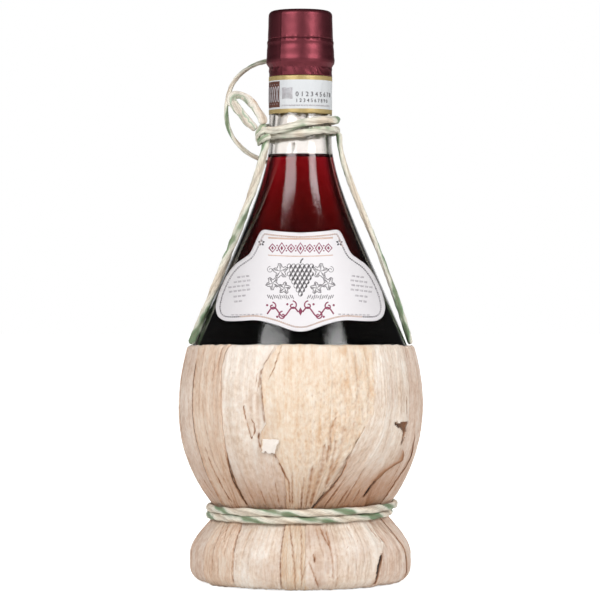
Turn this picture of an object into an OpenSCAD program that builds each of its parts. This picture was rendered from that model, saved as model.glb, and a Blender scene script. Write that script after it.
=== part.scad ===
// Straw-covered wine flask: a round-bottomed glass flask in a woven-leaf basket with
// a pinched waist and a standing foot, a cord harness with a hanging loop at the neck,
// a paper seal, a front label, and a cork under a two-piece capsule with a tear line.
// Millimetres. The origin is the centre of the foot on the ground, +Z is up and the
// label faces -Y.

/* [Flask] */
// Outer width of the flask at its widest
flask_d = 106.4; // [100:0.2:112]
// Height of the flask's widest point above the ground
belly_z = 78.8; // [74:0.2:84]
// Drop from the widest point to the flask's round bottom
belly_drop = 62; // [57:0.5:65]
// Radius of the side curve above the widest point
belly_curve_r = 73; // [66:0.5:80]
// How far round the side curve runs before the shoulder begins, in degrees
belly_curve_turn = 21.5; // [18:0.5:25]
// Outer width of the neck
neck_d = 28.2; // [26:0.2:30]
// Length of the neck, from the mouth down to the shoulder
neck_len = 57.7; // [54:0.1:62]
// Reach of the shoulder's curve down from the neck
neck_ease = 20.3; // [14:0.1:26]
// Reach of the shoulder's curve up from the belly
belly_ease = 34.3; // [26:0.1:42]
// Thickness of the glass wall
wall = 2.5; // [2:0.1:3.5]
// Height of the mouth above the ground
mouth_z = 255.5; // [250:0.5:262]
// Width of the bore in the mouth
bore_d = 18.8; // [17.5:0.1:20]
// Length of the straight bore
bore_len = 42; // [40:1:44]
// Depth of the wine's surface below the mouth
fill_drop = 65; // [60:0.5:75]

/* [Collar] */
// Height of the thick collar round the mouth
collar_h = 22.7; // [20:0.1:25]
// Collar width just under the rounded mouth edge
collar_top_d = 28.1; // [27.4:0.1:29]
// Collar width at the tear line
collar_mid_d = 28.7; // [28.2:0.1:29.4]
// Collar width just under the tear line
collar_low_d = 29.6; // [29:0.1:30.4]
// Collar width at its foot
collar_foot_d = 29.9; // [29.2:0.1:30.8]
// Height of the slope under the collar
collar_slope = 2.5; // [1.5:0.1:4]
// Rounding of the mouth edge
mouth_round = 2; // [1:0.1:2.4]

/* [Closure] */
// Length of the cork
cork_len = 38; // [36:1:39]
// Depth of the cork's top below the mouth
cork_sink = 1; // [0.5:0.1:3]
// Running clearance round the cork, on the radius
cork_clear = 0.05; // [0.02:0.01:0.1]
// Bevel on the cork's ends
cork_bevel = 0.6; // [0.2:0.1:1.5]
// Thickness of the capsule's film
capsule_t = 0.25; // [0.15:0.05:0.35]
// Depth of the tear line below the mouth
tear_drop = 12.1; // [10:0.1:14]
// Clearance between the lift-off cap and the collar, on the radius
cap_clear = 0.05; // [0.03:0.01:0.1]
// Thickness of the disc in the capsule's top
disc_t = 0.2; // [0.1:0.05:0.4]
// Width of the hole that the rolled edge leaves over the disc
cap_hole_d = 21; // [16:0.5:23]

/* [Seal and label] */
// Height of the paper seal
seal_h = 17; // [14:0.5:18]
// Length of capsule skirt between the collar's slope and the seal
skirt_h = 3; // [2:0.1:5]
// Thickness of the paper seal
seal_t = 0.12; // [0.1:0.02:0.3]
// Thickness of the label paper
label_t = 0.15; // [0.1:0.01:0.3]
// Height of the label's lowest point
label_z = 112.7; // [110:0.1:118]
// Height of the label from its lowest point to its top edge
label_h = 43; // [38:0.5:46]
// Width of the label across its lower lobes
label_w = 75; // [66:0.5:76]
// Width of the label's top edge
label_top_w = 33.4; // [28:0.2:36]

/* [Basket] */
// Height of the basket's rim
rim_z = 106; // [98:0.5:108]
// Space between the glass and the outside of the basket
basket_gap = 2; // [1.9:0.05:3]
// How much further the basket stands off at its rim
rim_bulge = 0.9; // [0.5:0.05:1.5]
// Thickness of one leaf
leaf_t = 0.7; // [0.5:0.05:0.7]
// Space between the outer and the inner layer of leaves
leaf_gap = 0.15; // [0.1:0.05:0.2]
// Number of leaves in each of the two layers
leaf_pairs = 8; // [6:1:10]
// Share of its place that an outer leaf covers
outer_share = 0.7; // [0.6:0.01:0.8]
// Share of its place that an inner leaf covers
inner_share = 0.76; // [0.6:0.01:0.85]
// Height of the waist
waist_z = 31.8; // [29:0.2:34]
// How far the leaves stand off the glass at the waist
waist_pad = 3.4; // [3:0.1:5]
// Width of the foot
foot_d = 100; // [94:0.5:104]
// Height of the foot's widest part
foot_wide_z = 12; // [9:0.5:14]
// Rounding of the foot's lower edge
foot_round = 6.5; // [5:0.1:8]
// Width of the hole that the folded-in leaf ends leave underneath
foot_hole_d = 64; // [56:1:70]
// Width of the hole through the straw ring in the foot
core_hole_d = 48; // [40:1:52]
// Thickness of the hoop under the rim
hoop_d = 0.9; // [0.6:0.05:1]
// Depth of the hoop below the rim
hoop_drop = 3; // [2:0.1:5]

/* [Cords] */
// Thickness of the waist cord
waist_cord_d = 3; // [2.4:0.1:3.2]
// Rise of the waist cord in one turn
waist_pitch = 3.6; // [3.6:0.1:4]
// Turns of the waist cord
waist_turns = 2; // [1:1:2]
// Thickness of the harness cords
harness_d = 3; // [2.4:0.1:3.4]
// Depth of the neck cord's knot below the mouth
knot_drop = 55.9; // [52:0.1:58]
// Thickness of the cord wound round the neck
neck_cord_d = 3.6; // [3:0.1:3.6]
// Thickness of the hanging loop
loop_d = 2.6; // [2:0.1:3]
// Thickness of the bow's loop
bow_d = 3.4; // [2.6:0.1:3.4]

/* [Hidden] */
function leaf_name(i) = str("leaf_", i < 9 ? "0" : "", i + 1);
LEAVES = [for (i = [0:2 * leaf_pairs - 1]) leaf_name(i)];
$fn = 96;

// Radii worked out from the widths
flask_r = flask_d / 2;
neck_r = neck_d / 2;
bore_r = bore_d / 2;
skirt_r = neck_r + seal_t - capsule_t - 0.1;
foot_r = foot_d / 2;

// Heights worked out from the mouth down
neck_z = mouth_z - neck_len;
fill_z = mouth_z - fill_drop;
knot_z = mouth_z - knot_drop;
collar_z = mouth_z - collar_h;
tear_z = mouth_z - tear_drop;
skirt_z = collar_z - collar_slope - skirt_h;
seal_gap = 0.1;
seal_z = skirt_z - seal_gap - seal_h;

// Colours of the pieces, as seen
glass_colour = [0.86, 0.9, 0.88, 0.45];
wine_colour = [0.36, 0.02, 0.06];
straw_colours = [[0.93, 0.85, 0.73], [0.87, 0.76, 0.62], [0.95, 0.89, 0.79]];
cord_cream = [0.91, 0.86, 0.76];
cord_green = [0.6, 0.74, 0.6];
capsule_colour = [0.45, 0.09, 0.14];

// Points on a curve between a and d that leaves towards b and arrives from c
function bezier(a, b, c, d, n) = [for (i = [0:n])
    let (u = i / n, v = 1 - u)
    v * v * v * a + 3 * v * v * u * b + 3 * v * u * u * c + u * u * u * d];
function arc(centre, r, from, to, n) = [for (i = [0:n])
    let (a = from + (to - from) * i / n)
    centre + r * [cos(a), sin(a)]];
function reversed(p) = [for (i = [len(p) - 1:-1:0]) p[i]];
function unit(v) = v / norm(v);
// A profile moved by d to the left of its run, which is inwards on every profile here
function moved_in(p, d) = [for (i = [0:len(p) - 1])
    let (t = unit(p[min(i + 1, len(p) - 1)] - p[max(i - 1, 0)]))
    [max(0, p[i].x - d * t.y), p[i].y + d * t.x]];
function grown(p, d) = [for (q = p) [q.x + d, q.y]];
// Radius of a rising profile at height z
function radius_at(p, z) = lookup(z, [for (q = p) [q.y, q.x]]);
function between(p, low, high) = [for (q = p) if (q.y > low && q.y < high) q];

// The flask's outside, from the middle of its bottom up to the start of the neck
side_centre = [flask_r - belly_curve_r, belly_z];
side_end = side_centre + belly_curve_r * [cos(belly_curve_turn), sin(belly_curve_turn)];
side_run = [-sin(belly_curve_turn), cos(belly_curve_turn)];
bowl = [for (i = [0:24])
    let (a = -90 + 3.75 * i)
    [flask_r * cos(a), belly_z + belly_drop * sin(a)]];
side = arc(side_centre, belly_curve_r, 0, belly_curve_turn, 6);
shoulder = bezier(side_end, side_end + belly_ease * side_run,
    [neck_r, neck_z - neck_ease], [neck_r, neck_z], 20);
rising = concat(bowl, [for (i = [1:6]) side[i]], [for (i = [1:20]) shoulder[i]]);

// The point at height z whose distance from the glass is d
function clear_of_glass(z, d) =
    let (slope = (radius_at(rising, z + 1) - radius_at(rising, z - 1)) / 2)
    [radius_at(rising, z) + d / cos(atan(slope)), z];

// The collar's outside, upwards
collar = [
    [skirt_r, skirt_z],
    [skirt_r, collar_z - collar_slope],
    [collar_foot_d / 2, collar_z],
    [collar_low_d / 2, tear_z - 1.2],
    [collar_mid_d / 2, tear_z]
];
mouth_centre = [collar_top_d / 2 - mouth_round, mouth_z - mouth_round];

module spun(profile) {
    rotate_extrude() polygon(profile);
}

// The hollow in the glass
cavity_profile = concat(
    between(moved_in(rising, wall), 0, neck_z - 3),
    [
        [neck_r - wall, neck_z],
        [bore_r, mouth_z - bore_len],
        [bore_r, mouth_z + 1],
        [0, mouth_z + 1]
    ]
);

module glass_flask() {
    color(glass_colour)
    difference() {
        spun(concat(
            rising,
            [[neck_r, skirt_z - seal_gap]],
            collar,
            arc(mouth_centre, mouth_round, 0, 90, 6),
            [[0, mouth_z]]
        ));
        spun(cavity_profile);
    }
}

module wine() {
    color(wine_colour)
    intersection() {
        spun(cavity_profile);
        cylinder(h = fill_z, r = flask_r);
    }
}

module cork() {
    r = bore_r - cork_clear;
    top = mouth_z - cork_sink;
    low = top - cork_len;
    color([0.8, 0.66, 0.48])
    spun([
        [0, low], [r - cork_bevel, low], [r, low + cork_bevel],
        [r, top - cork_bevel], [r - cork_bevel, top], [0, top]
    ]);
}

// The part of the capsule above the tear line
module capsule_cap() {
    centre = mouth_centre + [0, disc_t];
    foot = collar_mid_d / 2 + cap_clear;
    under = mouth_z + disc_t + cap_clear;
    color(capsule_colour)
    spun(concat(
        [[foot, tear_z], [foot + capsule_t, tear_z]],
        arc(centre, mouth_round + cap_clear + capsule_t, 0, 90, 8),
        [[cap_hole_d / 2, under + capsule_t], [cap_hole_d / 2, under]],
        reversed(arc(centre, mouth_round + cap_clear, 0, 90, 8))
    ));
}

module capsule_disc() {
    color([0.4, 0.08, 0.12])
    translate([0, 0, mouth_z])
    cylinder(h = disc_t, r = mouth_centre.x);
}

// The part of the capsule below the tear line
module capsule_sleeve() {
    color(capsule_colour)
    spun(concat(collar, reversed(grown(collar, capsule_t))));
}

module seal_strip() {
    color([0.9, 0.89, 0.86])
    translate([0, 0, seal_z])
    difference() {
        cylinder(h = seal_h, r = neck_r + seal_t);
        translate([0, 0, -1]) cylinder(h = seal_h + 2, r = neck_r);
    }
}

// Half of the label's outline, down from the middle of its top edge
label_half = [
    [0, label_h],
    [label_top_w / 2, label_h * 1.03],
    [label_top_w * 0.56, label_h * 0.95],
    [label_top_w * 0.63, label_h * 0.82],
    [label_w * 0.32, label_h * 0.76],
    [label_w * 0.38, label_h * 0.7],
    [label_w * 0.45, label_h * 0.56],
    [label_w * 0.49, label_h * 0.38],
    [label_w / 2, label_h * 0.25],
    [label_w * 0.493, label_h * 0.18],
    [label_w * 0.44, label_h * 0.1],
    [label_w * 0.28, label_h * 0.09],
    [label_w * 0.2, label_h * 0.07],
    [label_w * 0.1, label_h * 0.025],
    [0, 0]
];

module front_label() {
    edge = between(rising, label_z - 8, label_z + label_h + 8);
    glue_t = 0.05;
    color([0.93, 0.92, 0.91])
    intersection() {
        spun(concat(moved_in(edge, -glue_t), reversed(moved_in(edge, -glue_t - label_t))));
        translate([0, 0, label_z])
        rotate([90, 0, 0])
        linear_extrude(height = flask_r + 2)
        polygon(concat(label_half, [for (i = [len(label_half) - 2:-1:1])
            [-label_half[i].x, label_half[i].y]]));
    }
}

// The basket's outside, from the leaf ends under the foot up to the rim
waist_r = radius_at(rising, waist_z) + waist_pad;
waist_top_z = waist_z + 6;
function stand_off(z) = basket_gap
    + rim_bulge * pow(max(0, z - belly_z) / (rim_z - belly_z), 2);
basket_side = [for (q = between(rising, waist_top_z, rim_z)) clear_of_glass(q.y, stand_off(q.y))];
rim_point = clear_of_glass(rim_z, stand_off(rim_z));
waist_in = basket_side[0];
waist_in_run = unit(basket_side[1] - basket_side[0]);
basket_out = concat(
    [[foot_hole_d / 2, 0]],
    arc([foot_r - foot_round, foot_round], foot_round, -90, 0, 6),
    bezier([foot_r, foot_wide_z], [foot_r, foot_wide_z + 8.5],
        [waist_r, waist_z - 3.5], [waist_r, waist_z], 9),
    [for (i = [1:5]) bezier([waist_r, waist_z], [waist_r, waist_z + 1],
        waist_in - 4.5 * waist_in_run, waist_in, 5)[i]],
    [for (i = [1:len(basket_side) - 1]) basket_side[i]],
    [rim_point]
);
// The rim is cut level, whatever the slope of the leaves there
function cut_level(p) = concat([for (q = p) if (q.y < rim_z - 1) q],
    [[radius_at(p, rim_z), rim_z]]);

// One leaf of a layer, d inside the basket's outside
module leaf_strip(middle, width, d) {
    outside = cut_level(moved_in(basket_out, d));
    inside = cut_level(moved_in(basket_out, d + leaf_t));
    rotate([0, 0, middle - width / 2])
    rotate_extrude(angle = width)
    polygon(concat(outside, reversed(inside)));
}

// Even leaves lie outside and odd ones inside, each half a place on
module leaf(i) {
    place = 360 / leaf_pairs;
    outer = i % 2 == 0;
    color(straw_colours[i % 3])
    leaf_strip(
        -90 + i * place / 2,
        place * (outer ? outer_share : inner_share),
        outer ? 0 : leaf_t + leaf_gap
    );
}

// Inner face of the inner layer of leaves
lining_d = 2 * leaf_t + leaf_gap;

module rim_hoop() {
    color(cord_cream)
    rotate_extrude()
    translate(clear_of_glass(rim_z - hoop_drop, hoop_d / 2 + 0.1))
    circle(d = hoop_d);
}

// The ring of bundled straw that fills the foot and carries the flask
module foot_core() {
    outside = between(moved_in(basket_out, lining_d + 0.1), 0, waist_z - 1);
    seat = [for (q = between(rising, 0, waist_z - 1)) if (q.x > core_hole_d / 2) q];
    color([0.8, 0.7, 0.5])
    spun(concat(outside, reversed(seat)));
}

// A closed tube of that many sides along a list of points. No run lies along up.
function tube_ring(p, i, r, sides, up) =
    let (
        t = unit(p[min(i + 1, len(p) - 1)] - p[max(i - 1, 0)]),
        n = unit(cross(up, t)),
        b = cross(t, n)
    )
    [for (k = [0:sides - 1]) p[i] + r * (cos(360 * k / sides) * n + sin(360 * k / sides) * b)];

module tube(p, d, sides, up) {
    rings = len(p);
    points = [for (i = [0:rings - 1]) each tube_ring(p, i, d / 2, sides, up)];
    last = (rings - 1) * sides;
    walls = [for (i = [0:rings - 2], k = [0:sides - 1])
        let (a = i * sides + k, b = i * sides + (k + 1) % sides)
        each [[a, a + sides, b + sides], [a, b + sides, b]]];
    ends = [for (k = [1:sides - 2])
        each [[0, k, k + 1], [last, last + k + 1, last + k]]];
    polyhedron(points = points, faces = concat(walls, ends), convexity = 10);
}

// Least distance between a winding's turns, surface to surface
function least_gap(p, d, quarter) = min([
    for (i = [0:len(p) - 1], j = [i + quarter:1:len(p) - 1]) norm(p[i] - p[j])
]) - d;

rings_per_turn = 24;

// The waist cord lies in the basket's waist and ends in two straight tails at the back
waist_seat = moved_in(basket_out, -(waist_cord_d / 2 + 0.35));
function waist_point(turn) =
    let (
        z = waist_z + 0.4 + waist_pitch * (turn - waist_turns / 2),
        r = radius_at(between(waist_seat, foot_wide_z, belly_z), z)
    )
    [r * cos(90 + 360 * turn), r * sin(90 + 360 * turn), z];
waist_wound = [for (i = [0:waist_turns * rings_per_turn]) waist_point(i / rings_per_turn)];
function straight_out(p, q, length) = p + length * unit(p - q);
waist_path = concat(
    [straight_out(waist_wound[0], waist_wound[1], waist_cord_d)],
    waist_wound,
    [straight_out(waist_wound[len(waist_wound) - 1],
        waist_wound[len(waist_wound) - 2], waist_cord_d)]
);
echo(waist_cord_least_gap = least_gap(waist_path, waist_cord_d, 6));

module waist_cord() {
    color(cord_green) tube(waist_path, waist_cord_d, 6, [0, 0, 1]);
}

// The neck cord goes round twice from the knot and back to it. Its middle pass runs
// under the knot, so its two ends stand further out there.
knot_angle = 217;
knot_lump = 2.4;
knot_half = 1.5;
knot_cap = 2.5;
wind_r = neck_r + neck_cord_d / 2 + 0.4;
knot_r = wind_r + neck_cord_d / 2 + knot_lump + 0.15;
end_slant = 22;
// Place at s degrees round from the knot, clockwise seen from above
function round_neck(s, r, z) = [r * cos(knot_angle - s), r * sin(knot_angle - s), z];
// How far out, and how far above the knot's middle, the cord runs at s degrees, as
// shares of its own thickness
wind_out = [[26, 0.8], [45, 0.14], [60, 0], [640, 0], [657, 0.14], [675, 0.72], [694, 1.02]];
wind_high = [
    [26, -0.36], [60, -0.17], [120, 0.25], [217, 0.78], [272, 0.67], [296, 0.33],
    [325, 0.06], [360, 0], [405, 1.03], [430, 1.42], [480, 1.83], [577, 2.14],
    [632, 1.89], [657, 1.61], [675, 1.11], [694, 0.67]
];
function in_knot_frame(out, along, z) = [
    out * cos(knot_angle) + along * sin(knot_angle),
    out * sin(knot_angle) - along * cos(knot_angle),
    z
];
wind_first_z = knot_z - 1.4;
wind_last_z = knot_z + 2;
wind_path = concat(
    [
        in_knot_frame(knot_r, knot_half, wind_first_z),
        in_knot_frame(knot_r - neck_cord_d * sin(end_slant),
            knot_half + neck_cord_d * cos(end_slant), wind_first_z)
    ],
    [for (i = [0:44])
        let (s = 30 + 15 * i)
        round_neck(s, wind_r + neck_cord_d * lookup(s, wind_out),
            knot_z + neck_cord_d * lookup(s, wind_high))],
    [
        in_knot_frame(knot_r - neck_cord_d * sin(end_slant),
            -knot_half - neck_cord_d * cos(end_slant), wind_last_z),
        in_knot_frame(knot_r, -knot_half, wind_last_z)
    ]
);
echo(neck_winding_least_gap = least_gap(wind_path, neck_cord_d, 6));

module neck_winding() {
    color(cord_cream) tube(wind_path, neck_cord_d, 6, [0, 0, 1]);
}

// The knot is a barrel with a flat face, square to the cord, on each side
module knot() {
    low = wind_first_z - knot_cap;
    high = wind_last_z + knot_cap;
    color(cord_cream)
    rotate([0, 0, knot_angle])
    translate([knot_r, 0, 0])
    intersection() {
        spun([
            [0, low], [knot_lump - 1, low], [knot_lump, low + 1],
            [knot_lump, high - 1], [knot_lump - 1, high], [0, high]
        ]);
        between_faces();
    }
}

// What lies between the knot's two slanted faces
module between_faces() {
    reach = 20;
    lean = reach * tan(end_slant);
    linear_extrude(height = mouth_z)
    polygon([
        [-reach, knot_half - lean], [reach, knot_half + lean],
        [reach, -knot_half - lean], [-reach, -knot_half + lean]
    ]);
}

// A route's points are given from the knot's height
function at_knot(route) = [for (p = route) p + [0, 0, knot_z]];

// Route of the bow's loop, out of the knot's left side and back into its top
bow_route = [
    [-19.8, -11.8, 2.8], [-21.3, -11.3, 4.1], [-23, -10.7, 5.7], [-25.2, -9.9, 8.4],
    [-27.3, -9.1, 11.1], [-29.3, -8.4, 13.5], [-30.7, -7.9, 15.4], [-30.6, -7.6, 17.1],
    [-29.1, -7.5, 18.2], [-26.8, -7.7, 18], [-24.3, -8.3, 16.8], [-21.9, -9.3, 14.7],
    [-19.8, -10.5, 12], [-18, -11.7, 9.2], [-16.8, -12.6, 6.8], [-16.4, -12.9, 5.1]
];

module bow_loop() {
    color(cord_cream) tube(at_knot(bow_route), bow_d, 8, [0, 1, 0]);
}

// Route of the hanging loop, up behind the neck, round to the left and back
loop_route = [
    [3.5, 16.2, 9], [3.8, 16.4, 13.4], [3.8, 16.8, 18.4], [3.2, 17.4, 23.4],
    [1.4, 18, 28.4], [-1.6, 18.5, 32.4], [-5.5, 18.4, 35], [-10, 17.8, 36],
    [-14.6, 16.6, 35.5], [-19.5, 14.8, 34], [-24, 12.8, 31.6], [-27.6, 10.8, 28.6],
    [-30.4, 9, 25], [-32.2, 7.4, 20.8], [-33.2, 6, 16.4], [-33.5, 4.8, 11.9],
    [-33.2, 3.8, 7.4], [-32, 2.9, 3], [-29.9, 2.2, -1], [-27, 1.6, -4.4],
    [-23.4, 1.6, -7.4], [-19.6, 2.8, -9.4], [-16.8, 5.6, -10.6], [-14.2, 9.4, -11.2],
    [-10.8, 13.2, -11], [-7.2, 15.8, -9.6], [-4.7, 16.6, -7], [-3.7, 16.5, -4],
    [-3.5, 16.3, -1.4]
];

module hanging_loop() {
    color(cord_green) tube(at_knot(loop_route), loop_d, 8, [0, 1, 0]);
}

// A harness cord runs from the neck cord to the rim, and its place round the flask turns
// as it falls. Off the glass it stands by lift at its top and by belly more at its middle.
harness_foot_z = rim_z + 0.4;
function harness_path(top_z, top_angle, foot_angle, lift, belly) = [for (i = [0:20])
    let (
        u = i / 20,
        z = top_z + (harness_foot_z - top_z) * u,
        off = harness_d / 2 + 0.15 + lift * pow(1 - u, 2) + belly * sin(180 * u),
        r = clear_of_glass(z, off).x,
        a = top_angle + (foot_angle - top_angle) * (1 - pow(1 - u, 3))
    )
    [r * cos(a), r * sin(a), z]];
harness_left_path = harness_path(knot_z - 4.9, 220, 183, harness_d * 1.6, 0);
harness_right_path = harness_path(knot_z + 0.4, 357, 358, harness_d * 0.55, harness_d);

module harness_left() {
    color(cord_green) tube(harness_left_path, harness_d, 8, [0, 1, 0]);
}

module harness_right() {
    color(cord_cream) tube(harness_right_path, harness_d, 8, [0, 1, 0]);
}

glass_flask();
wine();
cork();
capsule_cap();
capsule_disc();
capsule_sleeve();
seal_strip();
front_label();
rim_hoop();
foot_core();
for (i = [0:2 * leaf_pairs - 1])
    leaf(i);
waist_cord();
neck_winding();
knot();
bow_loop();
hanging_loop();
harness_left();
harness_right();
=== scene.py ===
import bmesh
import bpy
import math
import random
from mathutils import Matrix, Vector, noise


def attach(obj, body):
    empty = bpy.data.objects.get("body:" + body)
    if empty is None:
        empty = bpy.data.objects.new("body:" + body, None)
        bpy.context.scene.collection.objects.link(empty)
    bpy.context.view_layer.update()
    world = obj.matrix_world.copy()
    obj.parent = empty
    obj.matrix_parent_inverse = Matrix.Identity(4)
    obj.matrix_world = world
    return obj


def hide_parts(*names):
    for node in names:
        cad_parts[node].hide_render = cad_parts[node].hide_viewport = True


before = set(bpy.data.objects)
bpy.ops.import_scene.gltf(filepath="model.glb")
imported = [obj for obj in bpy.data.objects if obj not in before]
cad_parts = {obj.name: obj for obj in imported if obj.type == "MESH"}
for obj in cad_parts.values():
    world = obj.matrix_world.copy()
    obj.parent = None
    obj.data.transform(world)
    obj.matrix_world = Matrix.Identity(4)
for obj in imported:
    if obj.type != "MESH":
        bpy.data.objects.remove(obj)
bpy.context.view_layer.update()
mm = 0.001


# sRGB hex to the linear colour that a socket wants
def toLinear(hexColour):
    parts = [int(hexColour[i:i + 2], 16) / 255 for i in (1, 3, 5)]
    return [c / 12.92 if c <= 0.04045 else ((c + 0.055) / 1.055) ** 2.4 for c in parts] + [1]


# Adds a node: sockets by name or number get values or links, anything else is a setting
def addNode(tree, kind, settings=None, links=None):
    made = tree.nodes.new(kind)
    for name, value in (settings or {}).items():
        if isinstance(name, int) or name in made.inputs.keys():
            made.inputs[name].default_value = value
        else:
            setattr(made, name, value)
    for name, source in (links or {}).items():
        tree.links.new(source, made.inputs[name])
    return made


def newMaterial(name):
    material = bpy.data.materials.new(name)
    material.use_nodes = True
    material.node_tree.nodes.clear()
    return material, material.node_tree


def smoothStep(low, high, value):
    t = min(1, max(0, (value - low) / (high - low)))
    return t * t * (3 - 2 * t)


# Camera: a long lens, level with the wine, as the photograph was taken
camera = {"place": (0, -1215, 132.9), "aim": (-0.2, 0, 126.15), "lens": 162, "sensor": 36}


def makeCamera():
    data = bpy.data.cameras.new("camera")
    data.lens = camera["lens"]
    data.sensor_width = camera["sensor"]
    made = bpy.data.objects.new("camera", data)
    bpy.context.scene.collection.objects.link(made)
    made.location = Vector(camera["place"]) * mm
    look = Vector(camera["aim"]) - Vector(camera["place"])
    made.rotation_euler = look.to_track_quat("-Z", "Y").to_euler()
    bpy.context.scene.camera = made


makeCamera()
print("camera done")


# Turns a bmesh into a piece that rides on a body and stands for CAD nodes
def finishPiece(name, bm, material, body, nodes):
    mesh = bpy.data.meshes.new(name)
    for face in bm.faces:
        face.smooth = True
    bm.to_mesh(mesh)
    bm.free()
    piece = bpy.data.objects.new(name, mesh)
    bpy.context.scene.collection.objects.link(piece)
    mesh.materials.append(material)
    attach(piece, body)
    if nodes:
        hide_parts(*nodes)
    return piece


# A smooth line through given points in millimetres, with so many steps between two
def smoothRoute(points, steps):
    points = [Vector(p) * mm for p in points]
    last = len(points) - 1
    route = []
    for i in range(last):
        a = points[max(i - 1, 0)]
        b, c = points[i], points[i + 1]
        d = points[min(i + 2, last)]
        for k in range(steps):
            t = k / steps
            route.append(0.5 * (2 * b + (c - a) * t + (2 * a - 5 * b + 4 * c - d) * t * t
                                + (3 * b - a - 3 * c + d) * t ** 3))
    return route + [points[last]]


def routeLength(route):
    return sum((b - a).length for a, b in zip(route, route[1:]))


# A cord of twisted paper strips swept along a route. The attribute lay holds the direction
# round the strips and the distance along, so that a colour can follow the twist.
def cordMesh(route, look, up):
    bm = bmesh.new()
    lay = bm.verts.layers.float_vector.new("lay")
    grooveShade = bm.verts.layers.float.new("grooveShade")
    sides, radius = look["sides"], look["diameter"] / 2 * mm
    flatAcross, flatUp = look.get("flat", (1, 1))
    last = len(route) - 1
    whole = routeLength(route)
    travelled = 0
    ring = None
    for i, point in enumerate(route):
        if i:
            travelled += (point - route[i - 1]).length
        run = (route[min(i + 1, last)] - route[max(i - 1, 0)]).normalized()
        side = Vector(up).cross(run).normalized()
        over = run.cross(side)
        if ring is None:
            made = bmesh.ops.create_circle(bm, segments=sides, radius=1, cap_ends=True)["verts"]
            ring = sorted(made, key=lambda v: math.atan2(v.co.y, v.co.x) % math.tau)
        else:
            edges = [bm.edges.get((ring[k], ring[(k + 1) % sides])) for k in range(sides)]
            grown = bmesh.ops.extrude_edge_only(bm, edges=edges)["geom"]
            new = set(v for v in grown if isinstance(v, bmesh.types.BMVert))
            ring = [next(e.other_vert(v) for e in v.link_edges if e.other_vert(v) in new) for v in ring]
        turn = travelled / (look["pitch"] * mm) * math.tau + look.get("phase", 0)
        turn += look.get("loose", 0.5) * noise.noise(Vector((travelled / mm * 0.06, look["seed"], 4)))
        far = travelled / radius
        swell = 1 + look["uneven"] * noise.noise(Vector((far * 0.25, look["seed"], 0)))
        nearEnd = min(travelled, whole - travelled) / (radius * 0.8)
        swell *= 1 - 0.35 * (1 - min(1, nearEnd)) ** 2
        for k, v in enumerate(ring):
            a = math.tau * k / sides
            b = a - turn
            lobe = abs(math.sin(look["strips"] * b / 2)) ** 0.6
            crease = 1 - 2.4 * abs(noise.noise(Vector((math.cos(b) * 2.2, math.sin(b) * 2.2, far * 0.16 + look["seed"]))))
            fold = noise.noise(Vector((math.cos(a) * 1.3 + 9, math.sin(a) * 1.3, far * 0.5 + look["seed"])))
            r = radius * swell * (1 - look["groove"] * (1 - lobe)) * (1 - 0.2 * max(0, crease) ** 3 + 0.12 * fold)
            v.co = point + r * (math.cos(a) * side * flatAcross + math.sin(a) * over * flatUp)
            v[lay] = (math.cos(b), math.sin(b), travelled / mm)
            # How far into a groove between strips or a deep crease a point lies, for painted shade there
            v[grooveShade] = min(1, 1.3 * (1 - lobe) ** 2 + 0.8 * max(0, crease) ** 4)
    bm.faces.new(reversed(ring))
    bmesh.ops.recalc_face_normals(bm, faces=bm.faces)
    return bm


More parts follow.
